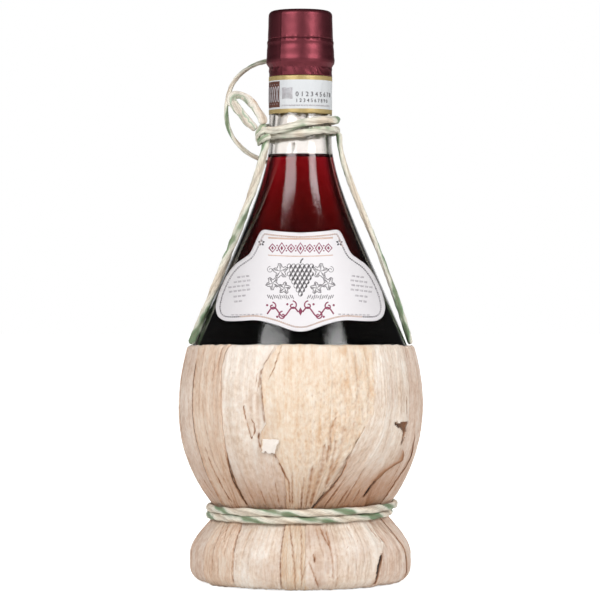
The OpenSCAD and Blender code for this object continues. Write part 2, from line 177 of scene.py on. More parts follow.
# Twisted paper raffia: dry matt strips with lengthwise creases. One strip is dyed green and
# its dye bleeds into the cream beside it.
def raffiaMaterial(name, tones):
    material, tree = newMaterial(name)
    lay = addNode(tree, "ShaderNodeAttribute", {"attribute_name": "lay"})
    split = addNode(tree, "ShaderNodeSeparateXYZ", links={0: lay.outputs["Vector"]})
    # The strip that faces away has the value 0, its opposite 1, and noise along shifts both
    wander = addNode(tree, "ShaderNodeTexNoise",
                     {"noise_dimensions": "1D", "Scale": tones["patch"], "Detail": 2}, {"W": split.outputs[2]})
    turned = addNode(tree, "ShaderNodeMath", {"operation": "MULTIPLY_ADD", 1: -tones["side"] / 2, 2: 0.5},
                     {0: split.outputs[0]})
    shifted = addNode(tree, "ShaderNodeMath", {"operation": "MULTIPLY_ADD", 1: tones["wander"]},
                      {0: wander.outputs[0], 2: turned.outputs[0]})
    level = addNode(tree, "ShaderNodeMath", {"operation": "SUBTRACT", 1: tones["wander"] / 2},
                    {0: shifted.outputs[0]})
    ramp = addNode(tree, "ShaderNodeValToRGB", links={0: level.outputs[0]})
    stops = ramp.color_ramp.elements
    stops[0].position, stops[0].color = tones["stops"][0][0], toLinear(tones["stops"][0][1])
    stops[1].position, stops[1].color = tones["stops"][-1][0], toLinear(tones["stops"][-1][1])
    for position, colour in tones["stops"][1:-1]:
        stops.new(position).color = toLinear(colour)
    # Creases run along the strips, 0.25 mm apart, and darken the colour in them as painted shade
    stretch = addNode(tree, "ShaderNodeVectorMath", {"operation": "MULTIPLY", 1: (1, 1, 0.06)},
                      {0: lay.outputs["Vector"]})
    creases = addNode(tree, "ShaderNodeTexNoise", {"Scale": 5, "Detail": 5, "Roughness": 0.65},
                      {"Vector": stretch.outputs[0]})
    shade = addNode(tree, "ShaderNodeMapRange", {1: 0.3, 2: 0.6, 3: 0.7, 4: 1.02}, {0: creases.outputs[0]})
    # Painted shade: the grooves between the strips and the deepest creases are mixed towards grey-brown
    grooveShade = addNode(tree, "ShaderNodeAttribute", {"attribute_name": "grooveShade"})
    inGrooveShade = addNode(tree, "ShaderNodeMapRange", {1: 0.1, 2: 1, 3: 0, 4: 0.5}, {0: grooveShade.outputs["Fac"]})
    wearAndShade = addNode(tree, "ShaderNodeMix", {"data_type": "RGBA", 7: toLinear("#8E7B68")},
                   {0: inGrooveShade.outputs[0], 6: ramp.outputs[0]})
    toned = addNode(tree, "ShaderNodeVectorMath", {"operation": "SCALE"},
                    {0: wearAndShade.outputs[2], "Scale": shade.outputs[0]})
    bump = addNode(tree, "ShaderNodeBump", {"Strength": 0.8, "Distance": 0.25 * mm}, {"Height": creases.outputs[0]})
    skin = addNode(tree, "ShaderNodeBsdfPrincipled", {"Roughness": 0.62, "Sheen Weight": 0.15},
                   {"Base Color": toned.outputs[0], "Normal": bump.outputs[0]})
    addNode(tree, "ShaderNodeOutputMaterial", links={0: skin.outputs[0]})
    return material


raffiaTwoTone = raffiaMaterial("paperRaffiaTwoTone", {"patch": 0.08, "wander": 1.15, "side": 0.95, "stops": [
    (0, "#F2E3CE"), (0.35, "#F4EDDC"), (0.66, "#E9E7D6"), (0.79, "#C9D1BC"), (0.9, "#8CA583"), (1, "#7C9A74")]})
raffiaPale = raffiaMaterial("paperRaffiaPale", {"patch": 0.08, "wander": 1.5, "side": 0.45, "stops": [
    (0.1, "#F0DFC9"), (0.35, "#F4EDDD"), (0.58, "#EEEBDA"), (0.7, "#DEE0CC"), (0.82, "#ACBE9F"), (0.98, "#84A17C")]})
raffiaBow = raffiaMaterial("paperRaffiaBow", {"patch": 0.12, "wander": 1.2, "side": 0.8, "stops": [
    (0, "#D2B196"), (0.22, "#E6D5C3"), (0.5, "#EFE7DB"), (0.7, "#E0DCCD"), (0.8, "#A5B9A0"), (0.9, "#E4DACA")]})

# The two free cords repeat their routes from the part's source, in millimetres, with heights
# from the knot
knotZ = 199.6
loop = {"node": "hanging_loop", "diameter": 2.6, "pitch": 38, "strips": 2, "groove": 0.3, "uneven": 0.14,
        "sides": 32, "seed": 3, "phase": 1.2, "flat": (0.84, 1), "route": [
            (3.5, 16.2, 9), (3.8, 16.4, 13.4), (3.8, 16.8, 18.4), (3.2, 17.4, 23.4), (1.4, 18, 28.4),
            (-1.6, 18.5, 32.4), (-5.5, 18.4, 35), (-10, 17.8, 36), (-14.6, 16.6, 35.5), (-19.5, 14.8, 34),
            (-24, 12.8, 31.6), (-27.6, 10.8, 28.6), (-30.4, 9, 25), (-32.2, 7.4, 20.8), (-33.2, 6, 16.4),
            (-33.5, 4.8, 11.9), (-33.2, 3.8, 7.4), (-32, 2.9, 3), (-29.9, 2.2, -1), (-27, 1.6, -4.4),
            (-23.4, 1.6, -7.4), (-19.6, 2.8, -9.4), (-16.8, 5.6, -10.6), (-14.2, 9.4, -11.2),
            (-10.8, 13.2, -11), (-7.2, 15.8, -9.6), (-4.7, 16.6, -7), (-3.7, 16.5, -4), (-3.5, 16.3, -1.4)]}
bow = {"node": "bow_loop", "diameter": 3.4, "pitch": 70, "strips": 2, "groove": 0.3, "uneven": 0.2,
       "sides": 36, "seed": 8, "flat": (1.25, 0.5), "phase": 0.4, "loose": 1.6, "route": [
           (-19.8, -11.8, 2.8), (-21.3, -11.3, 4.1), (-23, -10.7, 5.7), (-25.2, -9.9, 8.4), (-27.3, -9.1, 11.1),
           (-29.3, -8.4, 13.5), (-30.7, -7.9, 15.4), (-30.6, -7.6, 17.1), (-29.1, -7.5, 18.2),
           (-26.8, -7.7, 18), (-24.3, -8.3, 16.8), (-21.9, -9.3, 14.7), (-19.8, -10.5, 12),
           (-18, -11.7, 9.2), (-16.8, -12.6, 6.8), (-16.4, -12.9, 5.1)]}


def freeCord(look, material, up):
    route = smoothRoute([(x, y, z + knotZ) for x, y, z in look["route"]], 6)
    piece = finishPiece(look["node"] + "_twisted", cordMesh(route, look, up), material, "bottle",
                        [look["node"]])


freeCord(loop, raffiaTwoTone, (0, 1, 0))
freeCord(bow, raffiaBow, (0, 1, 0))
print("free cords done")

# The flask's curves in millimetres, which the basket, the label and the cords follow
flask = {"radius": 53.2, "bellyZ": 78.8, "drop": 62, "sideRadius": 73, "sideTurn": 21.5, "neckRadius": 14.1,
         "neckZ": 197.8, "neckEase": 20.3, "bellyEase": 34.3, "wall": 2.5, "mouthZ": 255.5, "boreRadius": 9.4,
         "boreLength": 42, "fillZ": 190.5, "wineInto": 0.15, "meniscus": 0.9, "skin": 0.6}
collar = {"foot": (15, 232.3), "low": (14.8, 241.8), "mid": (14.35, 243), "slope": 1.9, "top": 14.05,
          "round": 2, "skirt": (13.87, 226.4)}


def bezier(a, b, c, d, n):
    steps = [i / n for i in range(n + 1)]
    return [(1 - t) ** 3 * a + 3 * (1 - t) ** 2 * t * b + 3 * (1 - t) * t * t * c + t ** 3 * d for t in steps]


def arc(x, z, r, start, end, n):
    turns = [math.radians(start + (end - start) * i / n) for i in range(n + 1)]
    return [Vector((x + r * math.cos(a), z + r * math.sin(a))) for a in turns]


# The flask's outside, from the middle of its bottom up to the neck
def risingCurve():
    f = flask
    bowl = [Vector((f["radius"] * math.cos(a), f["bellyZ"] + f["drop"] * math.sin(a)))
            for a in [math.radians(-90 + 1.875 * i) for i in range(49)]]
    side = arc(f["radius"] - f["sideRadius"], f["bellyZ"], f["sideRadius"], 0, f["sideTurn"], 12)
    turn = math.radians(f["sideTurn"])
    run = Vector((-math.sin(turn), math.cos(turn)))
    neck = Vector((f["neckRadius"], f["neckZ"]))
    shoulder = bezier(side[-1], side[-1] + f["bellyEase"] * run, neck - Vector((0, f["neckEase"])), neck, 48)
    return bowl + side[1:] + shoulder[1:]


rising = risingCurve()


# A profile moved by d to the left of its run, which is inwards on every profile here
def movedIn(points, d):
    moved = []
    for i, p in enumerate(points):
        run = (points[min(i + 1, len(points) - 1)] - points[max(i - 1, 0)]).normalized()
        moved.append(Vector((max(0, p.x - d * run.y), p.y + d * run.x)))
    return moved


def radiusAt(points, z):
    for a, b in zip(points, points[1:]):
        if a.y <= z <= b.y and b.y > a.y:
            return a.x + (b.x - a.x) * (z - a.y) / (b.y - a.y)
    return points[-1].x if z > points[-1].y else points[0].x


def clearOfGlass(z, d):
    slope = (radiusAt(rising, z + 1) - radiusAt(rising, z - 1)) / 2
    return Vector((radiusAt(rising, z) + d / math.cos(math.atan(slope)), z))


# Spins a closed profile, or an open one that starts and ends on the axis, round Z
def spunMesh(profile, steps):
    bm = bmesh.new()
    verts = [bm.verts.new((p.x * mm, 0, p.y * mm)) for p in profile]
    edges = [bm.edges.new(pair) for pair in zip(verts, verts[1:])]
    if profile[0].x > 1e-6 or profile[-1].x > 1e-6:
        edges.append(bm.edges.new((verts[-1], verts[0])))
    bmesh.ops.spin(bm, geom=verts + edges, cent=(0, 0, 0), axis=(0, 0, 1), angle=math.tau, steps=steps,
                   use_merge=True)
    bmesh.ops.remove_doubles(bm, verts=bm.verts, dist=1e-6)
    bmesh.ops.recalc_face_normals(bm, faces=bm.faces)
    return bm


# Flint glass, blown in a mould: clear, grey only where it is seen through its thick edge, and
# rippled so that gloss on it has ragged edges. Where wine wets it, it bends light only by
# the difference between the two.
def glassMaterial(name, ior, density):
    material, tree = newMaterial(name)
    place = addNode(tree, "ShaderNodeTexCoord")
    ripple = addNode(tree, "ShaderNodeTexNoise", {"Scale": 1100, "Detail": 4, "Roughness": 0.65},
                     {"Vector": place.outputs["Object"]})
    bump = addNode(tree, "ShaderNodeBump", {"Strength": 0.6, "Distance": 0.05 * mm}, {"Height": ripple.outputs[0]})
    skin = addNode(tree, "ShaderNodeBsdfPrincipled", {
        "Base Color": toLinear("#FDFBF9"), "Roughness": 0, "IOR": ior, "Transmission Weight": 1},
        {"Normal": bump.outputs[0]})
    shade = addNode(tree, "ShaderNodeVolumeAbsorption", {"Color": (0.5, 0.44, 0.38, 1), "Density": density})
    out = addNode(tree, "ShaderNodeOutputMaterial", links={0: skin.outputs[0]})
    if density:
        tree.links.new(shade.outputs[0], out.inputs["Volume"])
    return material


# Young red wine: clear, ruby where it is thin and black where it is deep. The wetted glass
# already bends the light, so the wine's sides don't; its surface mirrors, as it does from below.
def wineMaterial(name, ior, density):
    material, tree = newMaterial(name)
    skin = addNode(tree, "ShaderNodeBsdfPrincipled", {
        "Base Color": (1, 1, 1, 1), "Roughness": 0, "IOR": ior, "Transmission Weight": 1})
    body = addNode(tree, "ShaderNodeVolumeAbsorption", {"Color": (0.865, 0.03, 0.25, 1), "Density": density})
    addNode(tree, "ShaderNodeOutputMaterial", links={"Surface": skin.outputs[0], "Volume": body.outputs[0]})
    return material


def collarCurve():
    c = collar
    return [Vector(c["skirt"]), Vector((c["skirt"][0], c["foot"][1] - c["slope"])), Vector(c["foot"]),
            Vector((c["low"][0], c["low"][1])), Vector(c["mid"])]


def makeFlask():
    f, c = flask, collar
    cavity = [p for p in movedIn(rising, f["wall"]) if p.y < f["neckZ"] - 3]
    cavity[0] = Vector((0, cavity[0].y))
    neckIn = Vector((f["neckRadius"] - f["wall"], f["neckZ"]))
    boreFoot = Vector((f["boreRadius"], f["mouthZ"] - f["boreLength"]))
    cavity += bezier(neckIn, neckIn + Vector((0, 6)), boreFoot - Vector((0, 6)), boreFoot, 12)
    cavity += [Vector((f["boreRadius"], f["mouthZ"] - down)) for down in (20, 1.6, 0.8, 0)]
    outside = rising + [Vector((f["neckRadius"], c["skirt"][1] - 0.1))] + collarCurve()
    outside += arc(c["top"] - c["round"], f["mouthZ"] - c["round"], c["round"], 0, 90, 8)
    bm = spunMesh(outside + cavity[::-1], 160)
    for face in bm.faces:
        middle = face.calc_center_median()
        inwards = face.normal.dot(Vector((middle.x, middle.y, 0))) < 0 or face.normal.z > 0.5
        if inwards and middle.z / mm < f["fillZ"] and math.hypot(middle.x, middle.y) / mm < radiusAt(rising, middle.z / mm) - 1:
            face.material_index = 1
    piece = finishPiece("flask_blown_glass", bm, glassMaterial("flintGlass", 1.5, 70), "bottle", ["glass_flask"])
    piece.data.materials.append(glassMaterial("flintGlassWetted", 1.12, 0))
    wine = [p for p in movedIn(rising, f["wall"] - f["wineInto"]) if p.y < f["fillZ"] - 1]
    wine[0] = Vector((0, wine[0].y))
    edge = radiusAt(cavity, f["fillZ"]) + f["wineInto"]
    under = f["fillZ"] - f["skin"]
    wine += [Vector((edge, under - 0.02)), Vector((0, under - 0.02))]
    finishPiece("wine_fill", spunMesh(wine, 160), wineMaterial("redWine", 1, 250), "bottle", ["wine"])
    # The surface climbs the glass a little all round
    rise = f["meniscus"]
    top = [(0, under), (edge, under), (edge, f["fillZ"] + rise), (edge - 0.3, f["fillZ"] + rise * 0.9),
           (edge - 0.7, f["fillZ"] + rise * 0.45), (edge - 1.5, f["fillZ"] + rise * 0.12),
           (edge - 3, f["fillZ"]), (0, f["fillZ"])]
    finishPiece("wine_surface", spunMesh([Vector(p) for p in top], 160), wineMaterial("redWineSurface", 1.33, 4500),
                "bottle", ["wine"])


makeFlask()
print("flask and wine done")

# The capsule, in millimetres and degrees
capsule = {"thick": 0.25, "clear": 0.05, "disc": 0.2, "hole": 10.5, "steps": 360, "seam": -126, "seamLift": 0.18,
           "pucker": 0.2, "wrinkle": 0.3, "lipZ": 233.8, "lip": 0.2, "dipZ": 240.2, "dip": 0.2}


# Shrunk capsule film: plastic lacquered burgundy over a metal coat, satin, faintly brushed round
def filmMaterial():
    material, tree = newMaterial("burgundyCapsuleFilm")
    place = addNode(tree, "ShaderNodeTexCoord")
    cloud = addNode(tree, "ShaderNodeTexNoise", {"Scale": 130, "Detail": 4}, {"Vector": place.outputs["Object"]})
    tone = addNode(tree, "ShaderNodeMix", {"data_type": "RGBA", 6: toLinear("#6E323B"), 7: toLinear("#843F48")},
                   {0: cloud.outputs[0]})
    bump = addNode(tree, "ShaderNodeBump", {"Strength": 0.2, "Distance": 0.12 * mm}, {"Height": cloud.outputs[0]})
    skin = addNode(tree, "ShaderNodeBsdfPrincipled", {"Metallic": 0.92, "Roughness": 0.43},
                   {"Base Color": tone.outputs[2], "Normal": bump.outputs[0]})
    addNode(tree, "ShaderNodeOutputMaterial", links={0: skin.outputs[0]})
    return material


film = filmMaterial()


# Cuts a profile's straight runs into steps no longer than length
def finer(points, length):
    fine = [points[0]]
    for a, b in zip(points, points[1:]):
        count = max(1, math.ceil((b - a).length / length))
        fine += [a.lerp(b, (i + 1) / count) for i in range(count)]
    return fine


# The film's own unevenness: an overlapped seam, puckers at the tear line, wrinkles in the skirt
def crumpleFilm(bm, wrinkleTop):
    k = capsule
    for v in bm.verts:
        r = math.hypot(v.co.x, v.co.y) / mm
        if r < 3:
            continue
        z = v.co.z / mm
        turn = math.degrees(math.atan2(v.co.y, v.co.x))
        past = ((turn - k["seam"] + 180) % 360 - 180) * math.radians(1) * r
        wave = past - 0.25 * noise.noise(Vector((0, 0, z * 0.5)))
        out = k["seamLift"] * (math.exp(-wave / 1.4) if wave > 0 else math.exp(wave / 0.12))
        atTear = math.exp(-((z - collar["mid"][1]) / 0.8) ** 2)
        out += k["pucker"] * atTear * noise.noise(Vector((turn * 0.16, 0, 0)))
        inSkirt = smoothStep(wrinkleTop + 1.5, wrinkleTop - 1, z)
        lean = turn * 0.055 + z * 0.16 + 1.4 * noise.noise(Vector((turn * 0.03, z * 0.1, 6)))
        fold = 1 - 2 * abs(noise.noise(Vector((lean, z * 0.1, 5))))
        out += k["wrinkle"] * inSkirt * (max(0, fold) ** 6 - 0.35)
        out += k["lip"] * math.exp(-((z - k["lipZ"]) / 1.1) ** 2) - k["dip"] * math.exp(-((z - k["dipZ"]) / 1.3) ** 2)
        out += 0.06 * noise.noise(v.co * 300)
        grow = 1 + out / r
        v.co.x *= grow
        v.co.y *= grow


def makeCapsule():
    c, k = collar, capsule
    sleeve = finer(collarCurve(), 0.4)
    lip = Vector(c["mid"]) + Vector((k["thick"] * 0.5, 0.12))
    outer = [p + Vector((k["thick"], 0)) for p in sleeve]
    bm = spunMesh(sleeve + [lip] + outer[::-1], k["steps"])
    crumpleFilm(bm, c["foot"][1] - c["slope"] + 1)
    finishPiece("sleeve_film", bm, film, "bottle", ["capsule_sleeve"])
    centre = Vector((c["top"] - c["round"], flask["mouthZ"] - c["round"] + k["disc"]))
    foot = c["mid"][0] + k["clear"]
    under = flask["mouthZ"] + k["disc"] + k["clear"]
    tearZ = c["mid"][1] + 0.15
    outside = finer([Vector((foot + k["thick"] * 0.5, tearZ - 0.05)), Vector((foot + k["thick"], tearZ + 0.15)),
                     centre + Vector((c["round"] + k["clear"] + k["thick"], 0))], 0.4)
    outside += arc(centre.x, centre.y, c["round"] + k["clear"] + k["thick"], 0, 90, 10)[1:]
    inside = [Vector((foot, tearZ))] + arc(centre.x, centre.y, c["round"] + k["clear"], 0, 90, 10)
    roll = [Vector((k["hole"] + 0.12, under + k["thick"])), Vector((k["hole"], under + k["thick"] * 0.5)),
            Vector((k["hole"] + 0.12, under))]
    bm = spunMesh(outside + roll + inside[::-1], k["steps"])
    crumpleFilm(bm, 0)
    finishPiece("cap_film", bm, film, "cap", ["capsule_cap"])
    top = flask["mouthZ"] + k["disc"]
    face = [Vector(p) for p in ((0, top - 0.02), (5.6, top - 0.02), (5.8, top + 0.06), (6.2, top + 0.06),
                                (6.4, top - 0.02), (8.6, top - 0.02), (8.8, top + 0.05), (9.1, top + 0.05),
                                (9.3, top - 0.02), (centre.x, top - 0.02), (centre.x, top - 0.2), (0, top - 0.2))]
    finishPiece("top_disc_film", spunMesh(face, 96), film, "cap", ["capsule_disc"])


makeCapsule()
print("capsule done")


# Cork: punched bark, warm tan with dark lenticels
def corkMaterial():
    material, tree = newMaterial("naturalCork")
    place = addNode(tree, "ShaderNodeTexCoord")
    grain = addNode(tree, "ShaderNodeTexNoise", {"Scale": 700, "Detail": 5}, {"Vector": place.outputs["Object"]})
    tone = addNode(tree, "ShaderNodeMix", {"data_type": "RGBA", 6: toLinear("#B58C5A"), 7: toLinear("#D6B888")},
                   {0: grain.outputs[0]})
    squeezed = addNode(tree, "ShaderNodeMapping", {"Scale": (1, 1, 0.35)}, {0: place.outputs["Object"]})
    pores = addNode(tree, "ShaderNodeTexVoronoi", {"Scale": 330}, {"Vector": squeezed.outputs[0]})
    isPore = addNode(tree, "ShaderNodeMapRange", {1: 0.16, 2: 0.24, 3: 0.8, 4: 0}, {0: pores.outputs["Distance"]})
    spotted = addNode(tree, "ShaderNodeMix", {"data_type": "RGBA", 7: toLinear("#5A3820")},
                      {0: isPore.outputs[0], 6: tone.outputs[2]})
    bump = addNode(tree, "ShaderNodeBump", {"Strength": 0.5, "Distance": 0.2 * mm}, {"Height": grain.outputs[0]})
    skin = addNode(tree, "ShaderNodeBsdfPrincipled", {"Roughness": 0.85},
                   {"Base Color": spotted.outputs[2], "Normal": bump.outputs[0]})
    addNode(tree, "ShaderNodeOutputMaterial", links={0: skin.outputs[0]})
    return material


cork = {"radius": 9.35, "length": 38, "top": 254.5, "bevel": 0.6}


def makeCork():
    k = cork
    low = k["top"] - k["length"]
    edge = k["radius"] - k["bevel"]
    bm = spunMesh([Vector(p) for p in ((0, low), (edge, low), (k["radius"], low + k["bevel"]),
                                       (k["radius"], k["top"] - k["bevel"]), (edge, k["top"]), (0, k["top"]))], 96)
    bmesh.ops.subdivide_edges(bm, edges=[e for e in bm.edges if e.calc_length() > 20 * mm], cuts=40)
    for v in bm.verts:
        v.co += v.normal * -0.12 * mm * max(0, noise.noise(v.co * 500))
    finishPiece("cork_stopper", bm, corkMaterial(), "stopper", ["cork"])


makeCork()
print("cork done")

# The label, in millimetres: right half of its outline, down from the middle of the top edge
label = {"paper": 0.15, "gap": 0.05, "cell": 1.2, "ink": 0.02, "outline": [
    (0, 155.9), (6, 156.2), (12, 156.8), (15.6, 157.3), (17.4, 156.6), (18.8, 154.3), (20.4, 150.6),
    (22.4, 146.8), (25.2, 144.6), (28.4, 142.4), (31, 139.6), (33.4, 136), (36.2, 129.6), (37.4, 124.4),
    (37.3, 121.6), (36.2, 118.9), (33.6, 117.3), (30, 117), (25.7, 117.2), (18.9, 117.5), (11.7, 115.9),
    (6.2, 114), (3, 113), (0, 112.7)]}


def labelOutline():
    half = [p / mm for p in smoothRoute([(x, 0, z) for x, z in label["outline"]], 5)]
    flat = [Vector((p.x, p.z)) for p in half]
    return flat + [Vector((-p.x, p.y)) for p in flat[-2:0:-1]]


labelEdge = labelOutline()


# Wraps a flat drawing, x across and z up in millimetres, on to the front of the flask
def bendOnGlass(bm, lift):
    for v in bm.verts:
        x, z = v.co.x, v.co.z
        r = clearOfGlass(z, lift).x
        v.co = Vector((x, -math.sqrt(max(0, r * r - x * x)), z)) * mm


# Faces of an open sheet are turned away from the axis, and then it gets its thickness
def thickenOutwards(bm, thickness):
    bm.normal_update()
    for face in bm.faces:
        middle = face.calc_center_median()
        if face.normal.dot(Vector((middle.x, middle.y, 0))) < 0:
            face.normal_flip()
    bm.normal_update()
    bmesh.ops.solidify(bm, geom=bm.faces, thickness=-thickness * mm)
    bmesh.ops.recalc_face_normals(bm, faces=bm.faces)


def cutInCells(bm, cell):
    for axis in (Vector((1, 0, 0)), Vector((0, 0, 1))):
        spots = [v.co.dot(axis) for v in bm.verts]
        for i in range(math.floor(min(spots) / cell) + 1, math.ceil(max(spots) / cell)):
            bmesh.ops.bisect_plane(bm, geom=bm.verts[:] + bm.edges[:] + bm.faces[:], dist=1e-5,
                                   plane_co=axis * cell * i, plane_no=axis)


# Wood-free label paper: smooth and white with a cold cast, fine fibre, a slight satin
def paperMaterial(name, tone, shade):
    material, tree = newMaterial(name)
    place = addNode(tree, "ShaderNodeTexCoord")
    cloud = addNode(tree, "ShaderNodeTexNoise", {"Scale": 90, "Detail": 3}, {"Vector": place.outputs["Object"]})
    fibre = addNode(tree, "ShaderNodeTexNoise", {"Scale": 1800, "Detail": 3}, {"Vector": place.outputs["Object"]})
    tint = addNode(tree, "ShaderNodeMix", {"data_type": "RGBA", 6: toLinear(shade), 7: toLinear(tone)},
                   {0: cloud.outputs[0]})
    bump = addNode(tree, "ShaderNodeBump", {"Strength": 0.25, "Distance": 0.04 * mm}, {"Height": fibre.outputs[0]})
    skin = addNode(tree, "ShaderNodeBsdfPrincipled", {"Roughness": 0.5},
                   {"Base Color": tint.outputs[2], "Normal": bump.outputs[0]})
    addNode(tree, "ShaderNodeOutputMaterial", links={0: skin.outputs[0]})
    return material


# Printing ink: thin and matt, a little uneven where the paper took less of it
def inkMaterial(name, tone, pale):
    material, tree = newMaterial(name)
    place = addNode(tree, "ShaderNodeTexCoord")
    wearAndShade = addNode(tree, "ShaderNodeTexNoise", {"Scale": 500, "Detail": 3}, {"Vector": place.outputs["Object"]})
    level = addNode(tree, "ShaderNodeMapRange", {1: 0.35, 2: 0.75}, {0: wearAndShade.outputs[0]})
    tint = addNode(tree, "ShaderNodeMix", {"data_type": "RGBA", 6: toLinear(tone), 7: toLinear(pale)},
                   {0: level.outputs[0]})
    skin = addNode(tree, "ShaderNodeBsdfPrincipled", {"Roughness": 0.6}, {"Base Color": tint.outputs[2]})
    addNode(tree, "ShaderNodeOutputMaterial", links={0: skin.outputs[0]})
    return material


labelPaper = paperMaterial("coatedLabelPaper", "#EAE7E9", "#E0DCDF")
inks = {"grey": inkMaterial("greyInk", "#454144", "#716C70"), "maroon": inkMaterial("maroonInk", "#86304F", "#A2506C"),
        "tan": inkMaterial("tanInk", "#CFAE9C", "#DDC3B6"), "faint": inkMaterial("faintInk", "#B9B4B8", "#D0CCD0"),
        "brown": inkMaterial("brownInk", "#5A3328", "#6C4438")}


def makeLabel():
    bm = bmesh.new()
    bm.faces.new([bm.verts.new((p.x, 0, p.y)) for p in labelEdge])
    cutInCells(bm, label["cell"])
    bendOnGlass(bm, label["gap"])
    thickenOutwards(bm, label["paper"])
    finishPiece("label_paper", bm, labelPaper, "bottle", ["front_label"])


# Draws a line of that width through points of the flat drawing
def inkLine(bm, points, width):
    points = [Vector((p[0], 0, p[1])) for p in points]
    last = len(points) - 1
    edge = None
    for i, p in enumerate(points):
        run = (points[min(i + 1, last)] - points[max(i - 1, 0)]).normalized()
        aside = Vector((run.z, 0, -run.x)) * width / 2
        if edge is None:
            edge = bm.edges.new((bm.verts.new(p - aside), bm.verts.new(p + aside)))
            continue
        low, high = edge.verts
        grown = bmesh.ops.extrude_edge_only(bm, edges=[edge])["geom"]
        new = [v for v in grown if isinstance(v, bmesh.types.BMVert)]
        nextLow = next(v for v in new if any(e.other_vert(v) == low for e in v.link_edges))
        nextHigh = next(v for v in new if v != nextLow)
        nextLow.co, nextHigh.co = p - aside, p + aside
        edge = next(e for e in nextLow.link_edges if e.other_vert(nextLow) == nextHigh)


def inkDot(bm, x, z, wide, high, sides=12, turn=0):
    place = Matrix.Translation((x, 0, z)) @ Matrix.Rotation(turn, 4, "Y") @ Matrix.Diagonal((wide, 1, high, 1)) \
        @ Matrix.Rotation(math.pi / 2, 4, "X")
    bmesh.ops.create_circle(bm, cap_ends=True, segments=sides, radius=0.5, matrix=place)


def circlePoints(x, z, wide, high, start=0, end=360, n=16):
    return [(x + wide * math.cos(math.radians(start + (end - start) * i / n)),
             z + high * math.sin(math.radians(start + (end - start) * i / n))) for i in range(n + 1)]


def spiralPoints(x, z, r, turns, side, n=28):
    points = []
    for i in range(n + 1):
        t = i / n
        a = math.pi / 2 + side * math.tau * turns * t
        points.append((x + r * (1 - 0.8 * t) * math.cos(a), z + r * (1 - 0.8 * t) * math.sin(a)))
    return points


def mirrored(points):
    return [(-x, z) for x, z in points]


# Points at even steps along a line of points
def evenly(points, step):
    spots = [points[0]]
    left = step
    for a, b in zip(points, points[1:]):
        length = (b - a).length
        while left < length:
            spots.append(a.lerp(b, left / length))
            left += step
        left -= length
    return spots


# A plain border: a line and a row of beads that follow the label's edge
def drawBorder(sheets):
    last = len(labelEdge)
    inset = []
    for i, p in enumerate(labelEdge):
        run = (labelEdge[(i + 1) % last] - labelEdge[i - 1]).normalized()
        inset.append(p + 1.9 * Vector((run.y, -run.x)))
    for p in evenly(inset + inset[:1], 0.95):
        warm = p.y < 119.5 and abs(p.x) < 27 or p.y > 150
        inkDot(sheets["tan" if warm else "grey"], p.x, p.y, 0.84 if warm else 0.7, 0.84 if warm else 0.7, 8)
    inkLine(sheets["faint"], inset + inset[:1], 0.42)


# Top ornament: lozenges and dots between two rules, in maroon
def drawTopOrnament(sheets):
    for i in range(-3, 4):
        x, z = i * 4.1, 149 + 0.02 * i * i
        high = 4.8 if i % 2 == 0 else 3.6
        inkLine(sheets["maroon"], [(x - 1.6, z), (x, z + high / 2), (x + 1.6, z), (x, z - high / 2), (x - 1.6, z)], 0.52)
        inkDot(sheets["maroon"], x, z, 1.2, high * 0.44, 4)
        if i < 3:
            inkDot(sheets["maroon"], x + 2.05, z + 1.1, 0.7, 0.7)
            inkDot(sheets["maroon"], x + 2.05, z - 1.1, 0.7, 0.7)
    for z, width in ((153.2, 0.75), (145.5, 0.4)):
        inkLine(sheets["tan"], [(-14.2 + i * 0.95, z + 0.0025 * (i - 15) ** 2) for i in range(31)], width)
    for side in (1, -1):
        for k in range(5):
            a = math.tau * k / 5
            inkDot(sheets["grey"], side * (17.2 + 0.95 * math.sin(a)), 151.6 + 0.95 * math.cos(a), 0.8, 1.1, 10, side * a)


# Lower ornament: a scroll of two mirrored vines with berries, in maroon
def drawScroll(sheets):
    for side in (1, -1):
        stem = [(1 + i * 0.45, 121.2 + 2 * math.sin(i * 0.33)) for i in range(31)]
        inkLine(sheets["maroon"], stem if side > 0 else mirrored(stem), 0.62)
        for k, (x, z, r, turn) in enumerate(((3.4, 124, 2, 1), (7.8, 119.6, 1.9, -1), (12.2, 123.6, 1.8, 1))):
            curl = spiralPoints(x, z, r, 1.05, turn)
            inkLine(sheets["maroon"], curl if side > 0 else mirrored(curl), 0.56)
            inkDot(sheets["maroon"], side * (x + 2.3), z + 0.5 * turn, 1, 1)
    inkDot(sheets["maroon"], 0, 121.4, 2, 3.6, 4)


